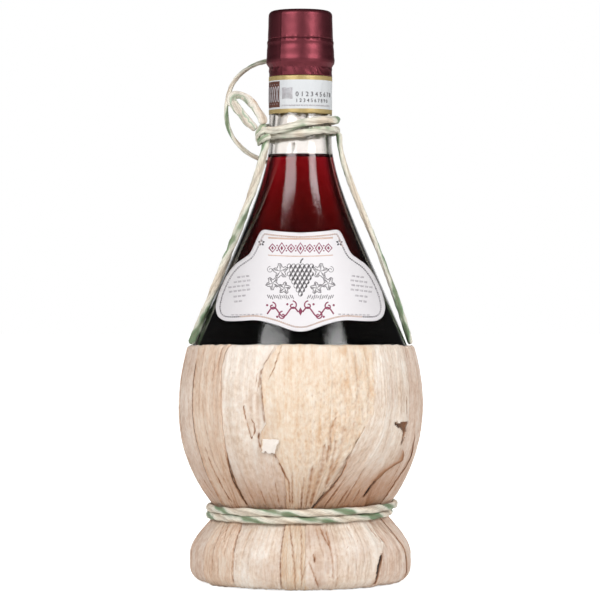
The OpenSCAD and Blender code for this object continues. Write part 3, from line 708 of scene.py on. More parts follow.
# Middle ornament: a bunch of grapes between two vine leaves, hatched like a woodcut
def drawGrapes(sheets):
    grey = sheets["grey"]
    for row, count in enumerate((6, 5, 6, 5, 4, 3, 2, 1)):
        z = 141.2 - row * 1.75
        for i in range(count):
            x = (i - (count - 1) / 2) * 1.95
            inkLine(grey, circlePoints(x, z, 0.92, 0.92), 0.26)
            inkLine(grey, circlePoints(x, z, 0.62, 0.62, -90, 40, 6), 0.3)
            inkLine(grey, circlePoints(x, z, 0.34, 0.34, -70, 20, 4), 0.24)
    inkLine(grey, [(0, 142.4), (0.3, 143.6), (1.2, 144.5)], 0.55)
    for side in (1, -1):
        for cx, cz, size, lean in ((8.8, 139, 3.7, 0.2), (12.2, 133.6, 3.2, -0.25), (7, 131.6, 2.9, -0.8)):
            outline = []
            for i in range(41):
                a = math.tau * i / 40
                r = size * (0.72 + 0.2 * math.cos(5 * a) + 0.06 * math.cos(17 * a))
                outline.append((cx + r * math.cos(a + lean), cz + r * math.sin(a + lean)))
            inkLine(grey, outline if side > 0 else mirrored(outline), 0.3)
            for k in range(5):
                a = math.tau * k / 5 + lean
                vein = [(cx + size * t * math.cos(a), cz + size * t * math.sin(a)) for t in (0.05, 0.3, 0.55, 0.78)]
                inkLine(grey, vein if side > 0 else mirrored(vein), 0.2)
                for t in (0.3, 0.42, 0.54, 0.66):
                    x, z = cx + size * t * math.cos(a), cz + size * t * math.sin(a)
                    hatch = [(x, z), (x + size * 0.2 * math.cos(a + 0.9), z + size * 0.2 * math.sin(a + 0.9))]
                    inkLine(grey, hatch if side > 0 else mirrored(hatch), 0.18)
        for k in range(13):
            x = 3 + k * 0.9
            hatch = [(x, 126.9 + 0.3 * math.sin(k * 1.7)), (x + 0.7, 128.5 + 0.25 * math.sin(k * 2.3))]
            inkLine(grey, hatch if side > 0 else mirrored(hatch), 0.3)
        tendril = spiralPoints(13.2, 139.6, 1.5, 1.3, -1)
        inkLine(grey, tendril if side > 0 else mirrored(tendril), 0.2)


# Faint broken rules at both sides and along the foot
def drawRules(sheets):
    for side in (1, -1):
        for row, (x, z, length) in enumerate(((22.5, 137, 7), (22, 135, 9.5), (22.4, 133, 10.5), (22, 131, 11.5),
                                              (24, 128.6, 7.5), (25.6, 126.4, 4.5))):
            broken = [(x + i * 0.5, z - (x + i * 0.5 - 22) * 0.12) for i in range(int(length / 0.5))]
            for k in range(0, len(broken) - 3, 4):
                run = broken[k:k + 4]
                inkLine(sheets["faint"], run if side > 0 else mirrored(run), 0.75)
        foot = [(16.5 + i * 0.6, 120.2 - 0.02 * i) for i in range(27)]
        for k in range(0, 24, 3):
            inkLine(sheets["faint"], (foot if side > 0 else mirrored(foot))[k:k + 3], 0.5)


def makePrint():
    sheets = {name: bmesh.new() for name in ("grey", "maroon", "tan", "faint")}
    drawBorder(sheets)
    drawTopOrnament(sheets)
    drawScroll(sheets)
    drawGrapes(sheets)
    drawRules(sheets)
    for name, bm in sheets.items():
        bendOnGlass(bm, label["gap"] + label["paper"] + 0.01)
        thickenOutwards(bm, label["ink"])
        finishPiece("label_print_" + name, bm, inks[name], "bottle", [])


makeLabel()
makePrint()
print("label done")

# The seal round the neck: heights in millimetres, angles from the front
seal = {"radius": 14.1, "paper": 0.12, "low": 209.4, "high": 226.3, "goldLow": 211.4, "goldHigh": 224.3,
        "blockLow": 212.2, "blockHigh": 223.8, "block": (-112, -41)}


# Stamped foil: pale gold, worn satin
def goldMaterial():
    material, tree = newMaterial("stampedGoldFoil")
    place = addNode(tree, "ShaderNodeTexCoord")
    wearAndShade = addNode(tree, "ShaderNodeTexNoise", {"Scale": 400, "Detail": 4}, {"Vector": place.outputs["Object"]})
    tint = addNode(tree, "ShaderNodeMix", {"data_type": "RGBA", 6: toLinear("#B3975A"), 7: toLinear("#CDB985")},
                   {0: wearAndShade.outputs[0]})
    skin = addNode(tree, "ShaderNodeBsdfPrincipled", {"Metallic": 0.35, "Roughness": 0.42},
                   {"Base Color": tint.outputs[2]})
    addNode(tree, "ShaderNodeOutputMaterial", links={0: skin.outputs[0]})
    return material


sealPaper = paperMaterial("sealPaper", "#DADCDE", "#CCCFD2")


# Wraps a flat drawing round the neck: x is a distance round from the front
def bendOnNeck(bm, lift):
    r = seal["radius"] + seal["paper"] + lift
    for v in bm.verts:
        turn = v.co.x / r - math.pi / 2
        v.co = Vector((r * math.cos(turn), r * math.sin(turn), v.co.z)) * mm


def makeSeal():
    s = seal
    heights = [s["low"], s["low"] + 0.8, s["goldLow"], s["blockLow"], 214, 216, 218, 220, 222, s["blockHigh"],
               s["goldHigh"], s["high"] - 0.6, s["high"]]
    r = s["radius"] + s["paper"]
    profile = [Vector((r, z)) for z in heights] + [Vector((s["radius"] + 0.01, z)) for z in heights[::-1]]
    bm = spunMesh(profile, 240)
    for face in bm.faces:
        middle = face.calc_center_median() / mm
        turn = math.degrees(math.atan2(middle.x, -middle.y))
        if middle.z < s["goldLow"] or middle.z > s["goldHigh"]:
            face.material_index = 1
        elif s["block"][0] < turn < s["block"][1] and s["blockLow"] < middle.z < s["blockHigh"]:
            face.material_index = 2
    for v in bm.verts:
        turn = math.atan2(v.co.x, -v.co.y)
        z = v.co.z / mm
        outer = math.hypot(v.co.x, v.co.y) / mm > s["radius"] + 0.06
        if z < s["low"] + 0.01:
            v.co.z += (0.7 * noise.noise(Vector((turn * 1.7, 0, 2))) + 0.05 * noise.noise(Vector((turn * 9, 0, 4)))) * mm
        if outer:
            crease = abs(noise.noise(Vector((turn * 3 + z * 0.05, z * 0.05, 1))))
            swell = 0.12 * noise.noise(Vector((turn * 5, z * 0.3, 8))) + 0.05 * noise.noise(Vector((turn * 14, z * 0.9, 3)))
            grow = 1 + (0.14 * math.exp(-crease / 0.03) + swell) / s["radius"]
            v.co.x *= grow
            v.co.y *= grow
    piece = finishPiece("seal_paper", bm, sealPaper, "bottle", ["seal_strip"])
    piece.data.materials.append(goldMaterial())
    piece.data.materials.append(inks["brown"])
    sheets = {"faint": bmesh.new(), "grey": bmesh.new()}
    for i in range(9):
        x = -10.9 - i * 1.75
        inkLine(sheets["faint"], circlePoints(x, 218, 0.62, 3.4, n=24), 0.34)
        inkDot(sheets["faint"], x + 0.87, 222.3, 0.4, 0.4)
        inkDot(sheets["faint"], x + 0.87, 213.7, 0.4, 0.4)
    for i in range(9):
        a = i * 0.6
        inkLine(sheets["faint"], [(-8.6 + a, 215.9), (-8.6 + a, 220.7)], 0.26)
        inkLine(sheets["faint"], [(-8.6, 215.9 + a), (-3.8, 215.9 + a)], 0.26)
    for k in range(22):
        x = -8.8 + k * 1.15
        inkLine(sheets["faint"], [(x, 212.9), (x + 0.45, 212.9), (x + 0.9, 212.9)], 0.5)
    digits = bpy.data.curves.new("digits", "FONT")
    for text, x, z, size in (("0 1 2 3 4 5 6 7 8", -2.2, 216.9, 2.9), ("1 2 3 4 5 6 7 8 9 0", -2.2, 214.3, 2.2)):
        digits.body = text
        digits.size = size
        carrier = bpy.data.objects.new("digits", digits)
        bpy.context.scene.collection.objects.link(carrier)
        flat = carrier.to_mesh()
        flat.transform(Matrix.Translation((x, 0, z)) @ Matrix.Rotation(math.pi / 2, 4, "X"))
        sheets["grey"].from_mesh(flat)
        carrier.to_mesh_clear()
        bpy.data.objects.remove(carrier)
    for name, sheet in sheets.items():
        bendOnNeck(sheet, 0.14)
        thickenOutwards(sheet, label["ink"])
        finishPiece("seal_print_" + name, sheet, inks[name], "bottle", [])


makeSeal()
print("seal done")

# The basket, in millimetres; angles are counted in degrees from the front to the right
basket = {"lowTanAndShade": 0.24, "gap": 2, "bulge": 0.9, "rimZ": 106, "waistZ": 31.8, "waistPad": 3.4, "foot": 50, "footZ": 12,
          "footRound": 6.5, "footHole": 32, "leafCount": 8, "outerHalf": 15.9, "innerHalf": 17.6, "outerDeep": 0.3,
          "innerDeep": 0.9, "thick": 0.34, "rimLift": 1.7, "wander": 3.2, "pleat": 0.8, "pleatWidth": 2.7,
          "footPleatWidth": 1.6}

# Left and right edges of the leaves in front, as (height, angle) from the rim down
leafEdges = {
    1: ([(106, -9.8), (104, -11.8), (101.4, -14.5), (98.8, -17), (95.4, -18), (89.8, -18.2), (83.4, -17.5),
         (78.2, -16.5), (73.1, -15.7), (70.5, -17.6), (67.8, -19), (62.6, -18.4), (60.9, -12.9), (58.1, -11.2),
         (49.5, -8.1), (39.6, -8.3), (35.9, -8.8), (28.8, -9.8), (17, -10), (0, -9.5)],
        [(106, 15), (70.5, 13.4), (61.8, 14.2), (53, 13.2), (44, 10.2), (36, 7.2), (28.6, 3.8), (0, 3.4)]),
    2: ([(106, 6), (60, 6), (36, 0), (0, -2)], [(106, 46), (60, 43), (36, 18), (20, 14), (0, 14)]),
    3: ([(106, 37.5), (91.7, 36.9), (80, 35.6), (74, 33), (66, 27.6), (57.2, 23.3), (51, 20.6), (46.3, 17.8),
         (40.5, 12.2), (35, 6.3), (28.6, 3.2), (18, 2.5), (0, 2.5)],
        [(106, 60.1), (95.5, 60.9), (82.3, 60), (71.7, 60.5), (67.5, 58.7), (62.2, 57.8), (59.4, 60), (55.8, 60.2),
         (53.9, 53.8), (51.9, 49.1), (48.5, 44.9), (45.5, 42.1), (40, 42), (36, 44), (28, 50.2), (23.9, 49.9),
         (19.6, 51.5), (15.1, 46), (8.8, 42.3), (0, 41.5)]),
    4: ([(106, 50), (60, 46), (46, 33), (36, 36), (28, 42), (15, 38), (0, 35)],
        [(106, 86), (60, 85), (36, 79), (0, 86)]),
    5: ([(106, 76), (90, 74), (72.6, 70), (65.8, 72), (56, 74), (50.8, 70.7), (45.9, 65.3), (36, 62), (28, 68),
         (21.5, 69), (13.8, 71.7), (0, 74)], [(106, 104), (60, 107), (36, 101), (0, 105)]),
    13: ([(106, -106), (60, -104), (36, -106), (0, -105)], [(106, -84), (80, -85), (60, -83), (36, -86), (0, -83)]),
    14: ([(106, -98), (60, -97), (36, -99), (0, -98)], [(106, -52), (60, -50), (36, -48), (0, -50)]),
    15: ([(106, -61.5), (98.6, -60.8), (79, -60), (65, -58.8), (56, -58), (45, -57.3), (35, -57.5), (26, -63.2),
          (15, -59.1), (0, -58.5)],
         [(106, -36.8), (102, -39.7), (97.7, -40.5), (83, -39.1), (63, -38.4), (47, -37.9), (35, -35.3),
          (28, -40.4), (14, -36.5), (0, -37.3)]),
    16: ([(106, -45), (60, -46), (36, -42), (0, -44)], [(106, -1), (60, -2), (36, 0), (0, -3)])}

# How deep an edge is pressed against the leaf below, as (height, depth) from the rim down:
# by leaf, and whether it is the right edge
flush = {(1, True): [(106, 0.55)], (13, True): [(106, 0.5)], (1, False): [(60, 0), (50, 0.3)],
         (3, False): [(74, 0.5), (64, -0.2), (30, -0.2), (27, 0.3)], (3, True): [(62, 0), (56, -0.7), (48, -0.4), (44, 0)],
         (5, False): [(75, 0.5), (65, 0.15), (45, 0.3)], (15, True): [(74, 0), (66, 0.35), (57, 0.3), (52, 0), (30, 0), (27, 0.4)]}

# Edges darkened between two heights, partly dried brown and partly painted shade, nearly black in cracks and broad
# beside a raised edge: how dark, and how far in
driedAndShaded = {(15, False): (40, 98.5, 1.9, 0.3), (15, True): (37, 58, 0.7, 0.3), (1, False): (34, 62, 0.35, 0.3),
         (3, False): (34, 56, 0.6, 0.3), (3, True): (46, 60, 0.7, 2.2), (5, False): (2, 66, 0.35, 0.3)}

# Where the fibres don't follow a torn edge, they follow these edges instead
grain = {1: ([(106, -20), (60, -17.5), (36, -9), (0, -9.5)], [(106, 15), (60, 14), (36, 7), (0, 3.4)]),
         3: ([(106, 37), (75, 35), (57, 24), (36, 6), (28, 3), (0, 2.5)],
             [(106, 61), (60, 60), (36, 43), (26, 50), (0, 43)])}

# Folds and cracks drawn along the leaves: (height, angle) from the top down, then half
# width, depth and how dark it is, partly brown and partly painted shade in the fold
creases = [
    # leaf 1's left edge and what lies beside it
    ([(105.7, -9), (101.4, -10.7), (95.9, -12.8), (92, -15)], 0.34, 0.3, 0.9),
    ([(105.4, -12.6), (101.4, -15.4), (98.8, -17.8), (95.4, -18.8), (90, -19)], 0.4, 0.2, 0.8),
    ([(98.8, -20.3), (93.7, -20.8), (87.6, -21.5)], 0.25, 0.2, 0.8), ([(97.1, -18.9), (92, -19.5), (86.8, -20.2)], 0.22, 0.2, 0.7),
    ([(92, -18.4), (84, -17.6), (78, -17.2), (73, -16.4)], 0.45, 0.15, 0.75),
    ([(100, -22.4), (84, -23.2), (70, -23.6)], 0.9, 0.2, 0.16), ([(88, -20.4), (74, -19.6), (66, -19.8)], 0.9, 0.2, 0.2),
    ([(81, -26.9), (78.9, -26.7), (72.9, -25.3), (68.6, -24.1), (66.4, -23.5)], 0.26, 0.3, 1.1),
    ([(75.5, -23.3), (73, -21.9), (69.5, -21.5), (66.4, -23.3)], 0.26, 0.3, 1.1),
    ([(69, -19.6), (66, -19.9), (62.6, -19.2), (60.8, -16.5), (60, -12.6), (57.4, -11.6)], 0.42, 0.4, 1),
    # the crack at the left, and leaves 14 and 15
    ([(62, -52), (52, -50), (44, -48), (37, -46)], 0.4, 0.35, 0.7), ([(72, -50), (64, -48.5), (56, -47.5), (46, -44)], 0.5, 0.3, 0.35),
    ([(103, -46), (97, -45.2), (90, -45.5)], 0.3, 0.15, 0.45), ([(106, -41.2), (101, -42.6), (95, -42.8)], 0.3, 0.2, 0.6),
    ([(61, -38.8), (52, -38.2), (44, -37.5), (36, -35.4)], 0.34, 0.2, 0.7),
    ([(50, -69), (42, -66), (36, -64)], 0.35, 0.3, 0.5), ([(46, -75), (36, -72)], 0.3, 0.2, 0.4),
    ([(56, -33.5), (46, -31), (36, -28.5)], 0.5, 0.3, 0.22), ([(44, -23), (36, -21.5)], 0.4, 0.3, 0.24),
    ([(42, -18), (36, -17)], 0.4, 0.3, 0.2), ([(47, -13.6), (36, -13)], 0.35, 0.3, 0.3),
    # below the middle of leaves 1 and 2
    ([(52, -4), (44, -4.5), (36, -5)], 0.36, 0.3, 0.5), ([(56, -10.5), (47, -6), (36, -6.4)], 0.45, 0.45, 0.6),
    ([(50, 2), (42, 1), (36, 0.4)], 0.45, 0.3, 0.4), ([(64, 11.4), (52, 10.6), (42, 7.6), (36, 6)], 0.9, 0.4, 0.4),
    ([(76, 16.8), (74.8, 16.1), (69.6, 13.9), (63.6, 13.7), (56, 12.8)], 0.7, 0.45, 0.5),
    ([(66, 16.8), (63.5, 16.6), (55.2, 15.9), (44.1, 13.8)], 0.7, 0.4, 0.42), ([(72, 20.5), (60, 19.4), (50, 16.4)], 0.8, 0.3, 0.25),
    ([(60, 24.6), (52, 20.8), (44, 16)], 0.6, 0.3, 0.35), ([(55, 6), (44, 4.6), (36, 3)], 0.7, 0.4, 0.35),
    ([(104.5, 9.6), (103, 18), (103.6, 26)], 0.5, 0.12, 0.16), ([(104, 12.2), (92, 12), (86, 12)], 0.4, 0.15, 0.14),
    ([(104, 27.4), (84, 27), (66, 24.6)], 0.6, 0.2, 0.2), ([(106, 33.6), (88, 33.8), (76, 32)], 0.5, 0.2, 0.22),
    # leaf 3 and what lies beside it
    ([(46, 18.4), (40.5, 13), (35, 7)], 0.36, 0.2, 0.5), ([(84, 58), (79, 58.3), (74, 58.9)], 0.36, 0.3, 1.1),
    ([(98, 48), (80, 47.5), (60, 43)], 0.5, 0.2, 0.2), ([(100, 54), (76, 53)], 0.3, 0.15, 0.16), ([(100, 43), (84, 42.5)], 0.4, 0.2, 0.14),
    ([(45, 28), (40, 25), (36, 23)], 0.4, 0.3, 0.35), ([(54, 34), (44, 29.5), (38, 27)], 0.4, 0.25, 0.3),
    ([(50, 24), (42, 19), (36, 15)], 0.4, 0.3, 0.4), ([(44, 35), (38, 33)], 0.35, 0.2, 0.35),
    ([(59.5, 61.4), (55.8, 61), (53.9, 54.6), (51.9, 50), (48.5, 45.8), (45.5, 43)], 0.4, 0.3, 0.8),
    ([(60, 66), (52, 62), (44, 58)], 0.35, 0.3, 0.6),
    ([(97, 62), (93, 61.5)], 0.3, 0.15, 0.9), ([(105, 67), (99, 66)], 0.3, 0.15, 0.6), ([(52, 70), (44, 66), (37, 62)], 0.3, 0.25, 0.7),
    # the foot, from its left to its right
    ([(27, -66), (18, -62), (6, -61)], 0.26, 0.3, 0.49), ([(28.5, -57), (20.5, -52.9), (14.6, -51.4), (7.2, -51.3)], 0.32, 0.35, 0.82),
    ([(14, -47), (6, -46.8)], 0.26, 0.25, 0.66), ([(28, -52), (20.5, -46.5)], 0.26, 0.3, 0.82), ([(28, -47), (21, -43.6), (14, -43)], 0.26, 0.25, 0.41),
    ([(28, -40.6), (21, -38.6), (14, -36.9), (8, -37.2), (1, -37.4)], 0.32, 0.35, 0.82),
    ([(16, -35), (9, -35)], 0.25, 0.25, 0.57), ([(28, -32), (20, -31.5), (14, -31.4)], 0.26, 0.25, 0.33), ([(28, -28), (10, -28)], 0.26, 0.2, 0.2),
    ([(28, -24), (14, -23)], 0.25, 0.15, 0.23), ([(28, -19), (12, -18.5), (3, -18)], 0.26, 0.15, 0.25), ([(28, -14), (10, -13.6)], 0.26, 0.15, 0.2),
    ([(28.6, -9.8), (17, -10.3), (8, -10.2), (0.5, -9.8)], 0.35, 0.4, 0.9),
    ([(28.6, -6.8), (21.2, -4.6), (14.4, -3.4), (7.3, -2.7), (0.5, -2.6)], 0.35, 0.4, 0.82),
    ([(28, 0.4), (20, 0.6), (12, 0.2), (5, 0.8)], 0.35, 0.35, 0.66), ([(12, 2.9), (7, 1.2), (2, 0.2)], 0.32, 0.35, 0.49),
    ([(16.8, 6.6), (14.8, 7), (12.9, 7.1)], 0.4, 0.45, 1.6), ([(13.6, 4.2), (7.7, 6.7), (1, 9.5)], 0.37, 0.45, 0.74),
    ([(28, 12), (24, 13.5), (20, 15.5)], 0.35, 0.35, 0.66), ([(28, 15.2), (24, 15.6), (12, 16.4), (5, 16.6)], 0.35, 0.35, 0.66),
    ([(28, 9.5), (22, 10.5), (15, 12)], 0.35, 0.3, 0.41), ([(26, 5), (18, 5.2)], 0.31, 0.25, 0.33), ([(19.8, 19), (12, 18.8), (2, 18.6)], 0.3, 0.25, 0.49),
    ([(15, 14), (8, 13.8)], 1.4, 0.2, 0.35), ([(18, 8), (9, 9), (2, 10)], 2.4, 0.1, 0.3), ([(27, 14), (14, 14.6)], 1.8, 0.2, 0.3),
    ([(28, 24), (12, 24.6), (3, 24.8)], 0.26, 0.2, 0.33), ([(28, 30), (22, 30.2)], 0.25, 0.2, 0.49), ([(27, 34), (23, 35)], 0.23, 0.25, 0.57),
    ([(16, 29), (4, 30)], 0.26, 0.2, 0.37), ([(16, 34.4), (4, 35)], 0.26, 0.2, 0.33), ([(20, 38), (8, 38.6)], 0.26, 0.2, 0.29),
    ([(21.8, 33.4), (20.2, 31.4), (20.8, 30.4)], 0.26, 0.1, 0.74), ([(20.4, 28.8), (19.4, 27)], 0.26, 0.1, 0.74), ([(19.4, 26.2), (18.6, 24.8)], 0.26, 0.1, 0.74),
    ([(18.6, 57), (17.2, 54.6)], 0.25, 0.1, 0.66), ([(28.5, 52.2), (24, 52), (19.6, 54.4)], 0.28, 0.35, 0.98),
    ([(28.5, 46.4), (25, 47.6), (20.5, 50.4)], 0.28, 0.35, 0.98), ([(17, 49), (5, 47.8)], 0.25, 0.2, 0.37), ([(17, 52.4), (4, 51.4)], 0.25, 0.2, 0.37),
    ([(17, 56), (4, 55.4)], 0.25, 0.2, 0.37), ([(17, 60), (4, 59.6)], 0.25, 0.2, 0.33), ([(28, 58), (20, 63), (13, 66), (6, 66.6)], 0.3, 0.35, 0.82),
    ([(26, 66), (18, 71), (8, 74)], 0.3, 0.35, 0.82)]


# More of them where the photograph doesn't show the leaves: short at the rim, long lower down
def addUnseenCreases():
    dice = random.Random(11)
    for k in range(88):
        foot = k % 2 == 0
        top = dice.uniform(22, 29) if foot else dice.uniform(38, 104)
        long = dice.uniform(6, 20) if foot else dice.uniform(5, 26)
        turn = dice.uniform(78, 282)
        points = [(top - long * i / 3, turn + 1.2 * i * dice.uniform(-1, 1)) for i in range(4)]
        low = top < 66
        creases.append(([(max(1, z), a) for z, a in points], dice.uniform(0.26, 0.6), 0.3,
                        dice.uniform(0.2, 0.8) if low else dice.uniform(0.1, 0.4)))


addUnseenCreases()

# Tears go through an outer leaf: its number, how dark the leaf below is inside, partly its own
# red-brown and partly painted shade, then (height, angle, half width) from the top down
tears = [
    (3, 1.1, [(72.6, 54.6, 5.4), (71.7, 54.4, 4.8), (70.8, 55, 3), (69.6, 57, 1.9), (66.5, 57.2, 1.2), (62.6, 56, 0.3)]),
    (3, 1.5, [(47, 42.4, 0.3), (44.6, 40.8, 0.9), (42, 39.8, 0.7), (40.2, 39.2, 0.2)]),
    (3, 1.5, [(16, 47, 0.3), (14, 45.4, 0.9), (10, 43.2, 1.2), (6, 42.2, 0.8), (1.5, 41.6, 0.5)])]


def basketCurve():
    b = basket
    waist = Vector((radiusAt(rising, b["waistZ"]) + b["waistPad"], b["waistZ"]))
    side = []
    for i in range(33):
        z = b["waistZ"] + 6 + (b["rimZ"] - b["waistZ"] - 6) * i / 32
        high = max(0, z - flask["bellyZ"]) / (b["rimZ"] - flask["bellyZ"])
        side.append(clearOfGlass(z, b["gap"] + b["bulge"] * high ** 2))
    run = (side[1] - side[0]).normalized()
    foot = Vector((b["foot"], b["footZ"]))
    curve = [Vector((b["footHole"], 0))]
    curve += arc(b["foot"] - b["footRound"], b["footRound"], b["footRound"], -90, 0, 8)
    curve += bezier(foot, foot + Vector((0, 8.5)), waist - Vector((0, 3.5)), waist, 14)
    curve += bezier(waist, waist + Vector((0, 1)), side[0] - 4.5 * run, side[0], 8)[1:]
    return curve + side[1:]


basketLine = basketCurve()


# Height to angle along a leaf's edge, eased between the given points
def followed(points, z):
    if z >= points[0][0]:
        return points[0][1]
    for (z1, a1), (z2, a2) in zip(points, points[1:]):
        if z >= z2:
            t = (z1 - z) / (z1 - z2)
            return a1 + (a2 - a1) * t
    return points[-1][1]


# Dry leaf sheath, split and flattened: matt satin cream, streaked along its fibres, with
# pinkish and tan clouds, brown specks, and cracks that go brown and then nearly black, the black being painted shade.
# The attribute strip holds millimetres across and along the leaf; a second attribute holds how brown it is, from real
# stains together with painted shade in cracks, pleats, pits, tears and towards the waist.
def strawMaterial(name, light, middle, dark):
    material, tree = newMaterial(name)
    strip = addNode(tree, "ShaderNodeAttribute", {"attribute_name": "strip"})
    stainAndShade = addNode(tree, "ShaderNodeAttribute", {"attribute_name": "stainAndShade"})

    def stretched(scale, detail, rough):
        size = addNode(tree, "ShaderNodeVectorMath", {"operation": "MULTIPLY", 1: scale},
                       {0: strip.outputs["Vector"]})
        return addNode(tree, "ShaderNodeTexNoise", {"Scale": 1, "Detail": detail, "Roughness": rough},
                       {"Vector": size.outputs[0]}).outputs[0]

    # Fibres 0.4 mm apart, veins 2.5 mm apart, clouds of 10 mm
    fibres = stretched((2.6, 0.07, 1), 5, 0.7)
    veins = stretched((0.4, 0.018, 1), 4, 0.6)
    clouds = stretched((0.11, 0.07, 1), 5, 0.65)
    skinGrain = stretched((2.4, 1.2, 1), 3, 0.6)
    mottle = stretched((0.75, 0.4, 1), 4, 0.6)
    level = mottle
    for part, weight in ((fibres, 0.45), (veins, 0.85), (clouds, 1.2)):
        level = addNode(tree, "ShaderNodeMath", {"operation": "MULTIPLY_ADD", 1: weight},
                        {0: part, 2: level}).outputs[0]
    level = addNode(tree, "ShaderNodeMapRange", {1: 1.34, 2: 2.12}, {0: level})
    ramp = addNode(tree, "ShaderNodeValToRGB", links={0: level.outputs[0]})
    stops = ramp.color_ramp.elements
    stops.new(0.5)
    for stop, (position, colour) in zip(stops, ((0.12, dark), (0.5, middle), (0.88, light))):
        stop.position, stop.color = position, toLinear(colour)
    specks = addNode(tree, "ShaderNodeMapRange", {1: 0.67, 2: 0.76, 3: 0, 4: 0.6},
                     {0: stretched((1.1, 0.8, 1), 3, 0.6)})
    paler = addNode(tree, "ShaderNodeMapRange", {1: 0, 2: -1}, {0: stainAndShade.outputs["Fac"]})
    browner = addNode(tree, "ShaderNodeMapRange", {1: 0, 2: 0.7}, {0: stainAndShade.outputs["Fac"]})
    blacker = addNode(tree, "ShaderNodeMapRange", {1: 0.55, 2: 1.5}, {0: stainAndShade.outputs["Fac"]})
    colour = ramp.outputs[0]
    # Brown is partly real stain and partly painted shade; nearly black is painted shade in cracks, tears and gaps
    for amount, tone in ((specks, "#B08868"), (paler, "#FBF1E8"), (browner, "#AC7751"), (blacker, "#21120D")):
        colour = addNode(tree, "ShaderNodeMix", {"data_type": "RGBA", 7: toLinear(tone)},
                         {0: amount.outputs[0], 6: colour}).outputs[2]
    relief = addNode(tree, "ShaderNodeMath", {"operation": "MULTIPLY_ADD", 1: 0.6}, {0: skinGrain, 2: fibres})
    relief = addNode(tree, "ShaderNodeMath", {"operation": "MULTIPLY_ADD", 1: 0.9},
                     {0: mottle, 2: relief.outputs[0]})
    bump = addNode(tree, "ShaderNodeBump", {"Strength": 1, "Distance": 0.32 * mm}, {"Height": relief.outputs[0]})
    skin = addNode(tree, "ShaderNodeBsdfPrincipled", {"Roughness": 0.52, "Sheen Weight": 0.05},
                   {"Base Color": colour, "Normal": bump.outputs[0]})
    addNode(tree, "ShaderNodeOutputMaterial", links={0: skin.outputs[0]})
    return material


straws = {"cream": strawMaterial("leafSheathCream", "#F6E8D7", "#EDD7BF", "#E2BE9B"),
          "pale": strawMaterial("leafSheathPale", "#FBF1E6", "#F1E0D0", "#DCC4AE"),
          "tan": strawMaterial("leafSheathTan", "#F8E6D4", "#EDD2BB", "#DAB69A"),
          "rosy": strawMaterial("leafSheathRosy", "#F5E4D6", "#E7CEBB", "#D2B19A")}
leafTones = {1: "cream", 2: "cream", 3: "pale", 4: "rosy", 5: "rosy", 14: "rosy", 15: "tan", 16: "pale",
             6: "pale", 7: "cream", 8: "tan", 9: "pale", 10: "rosy", 11: "cream", 12: "tan", 13: "rosy"}


# The basket's line cut into even steps, with the distance along for each point
def alongCurve(points, count):
    lengths = [0]
    for a, b in zip(points, points[1:]):
        lengths.append(lengths[-1] + (b - a).length)
    even = []
    j = 0
    for i in range(count + 1):
        s = lengths[-1] * i / count
        while j < len(points) - 2 and lengths[j + 1] < s:
            j += 1
        even.append(points[j].lerp(points[j + 1], (s - lengths[j]) / (lengths[j + 1] - lengths[j])))
    return even, lengths[-1] / count


# Angle and half width of a line at height z, or nothing where it doesn't reach
def lineAt(points, z, width):
    if not points[-1][0] < z < points[0][0]:
        return None
    ends = min(points[0][0] - z, z - points[-1][0]) / 2.5
    return followed(points, z), width * min(1, 0.25 + ends)


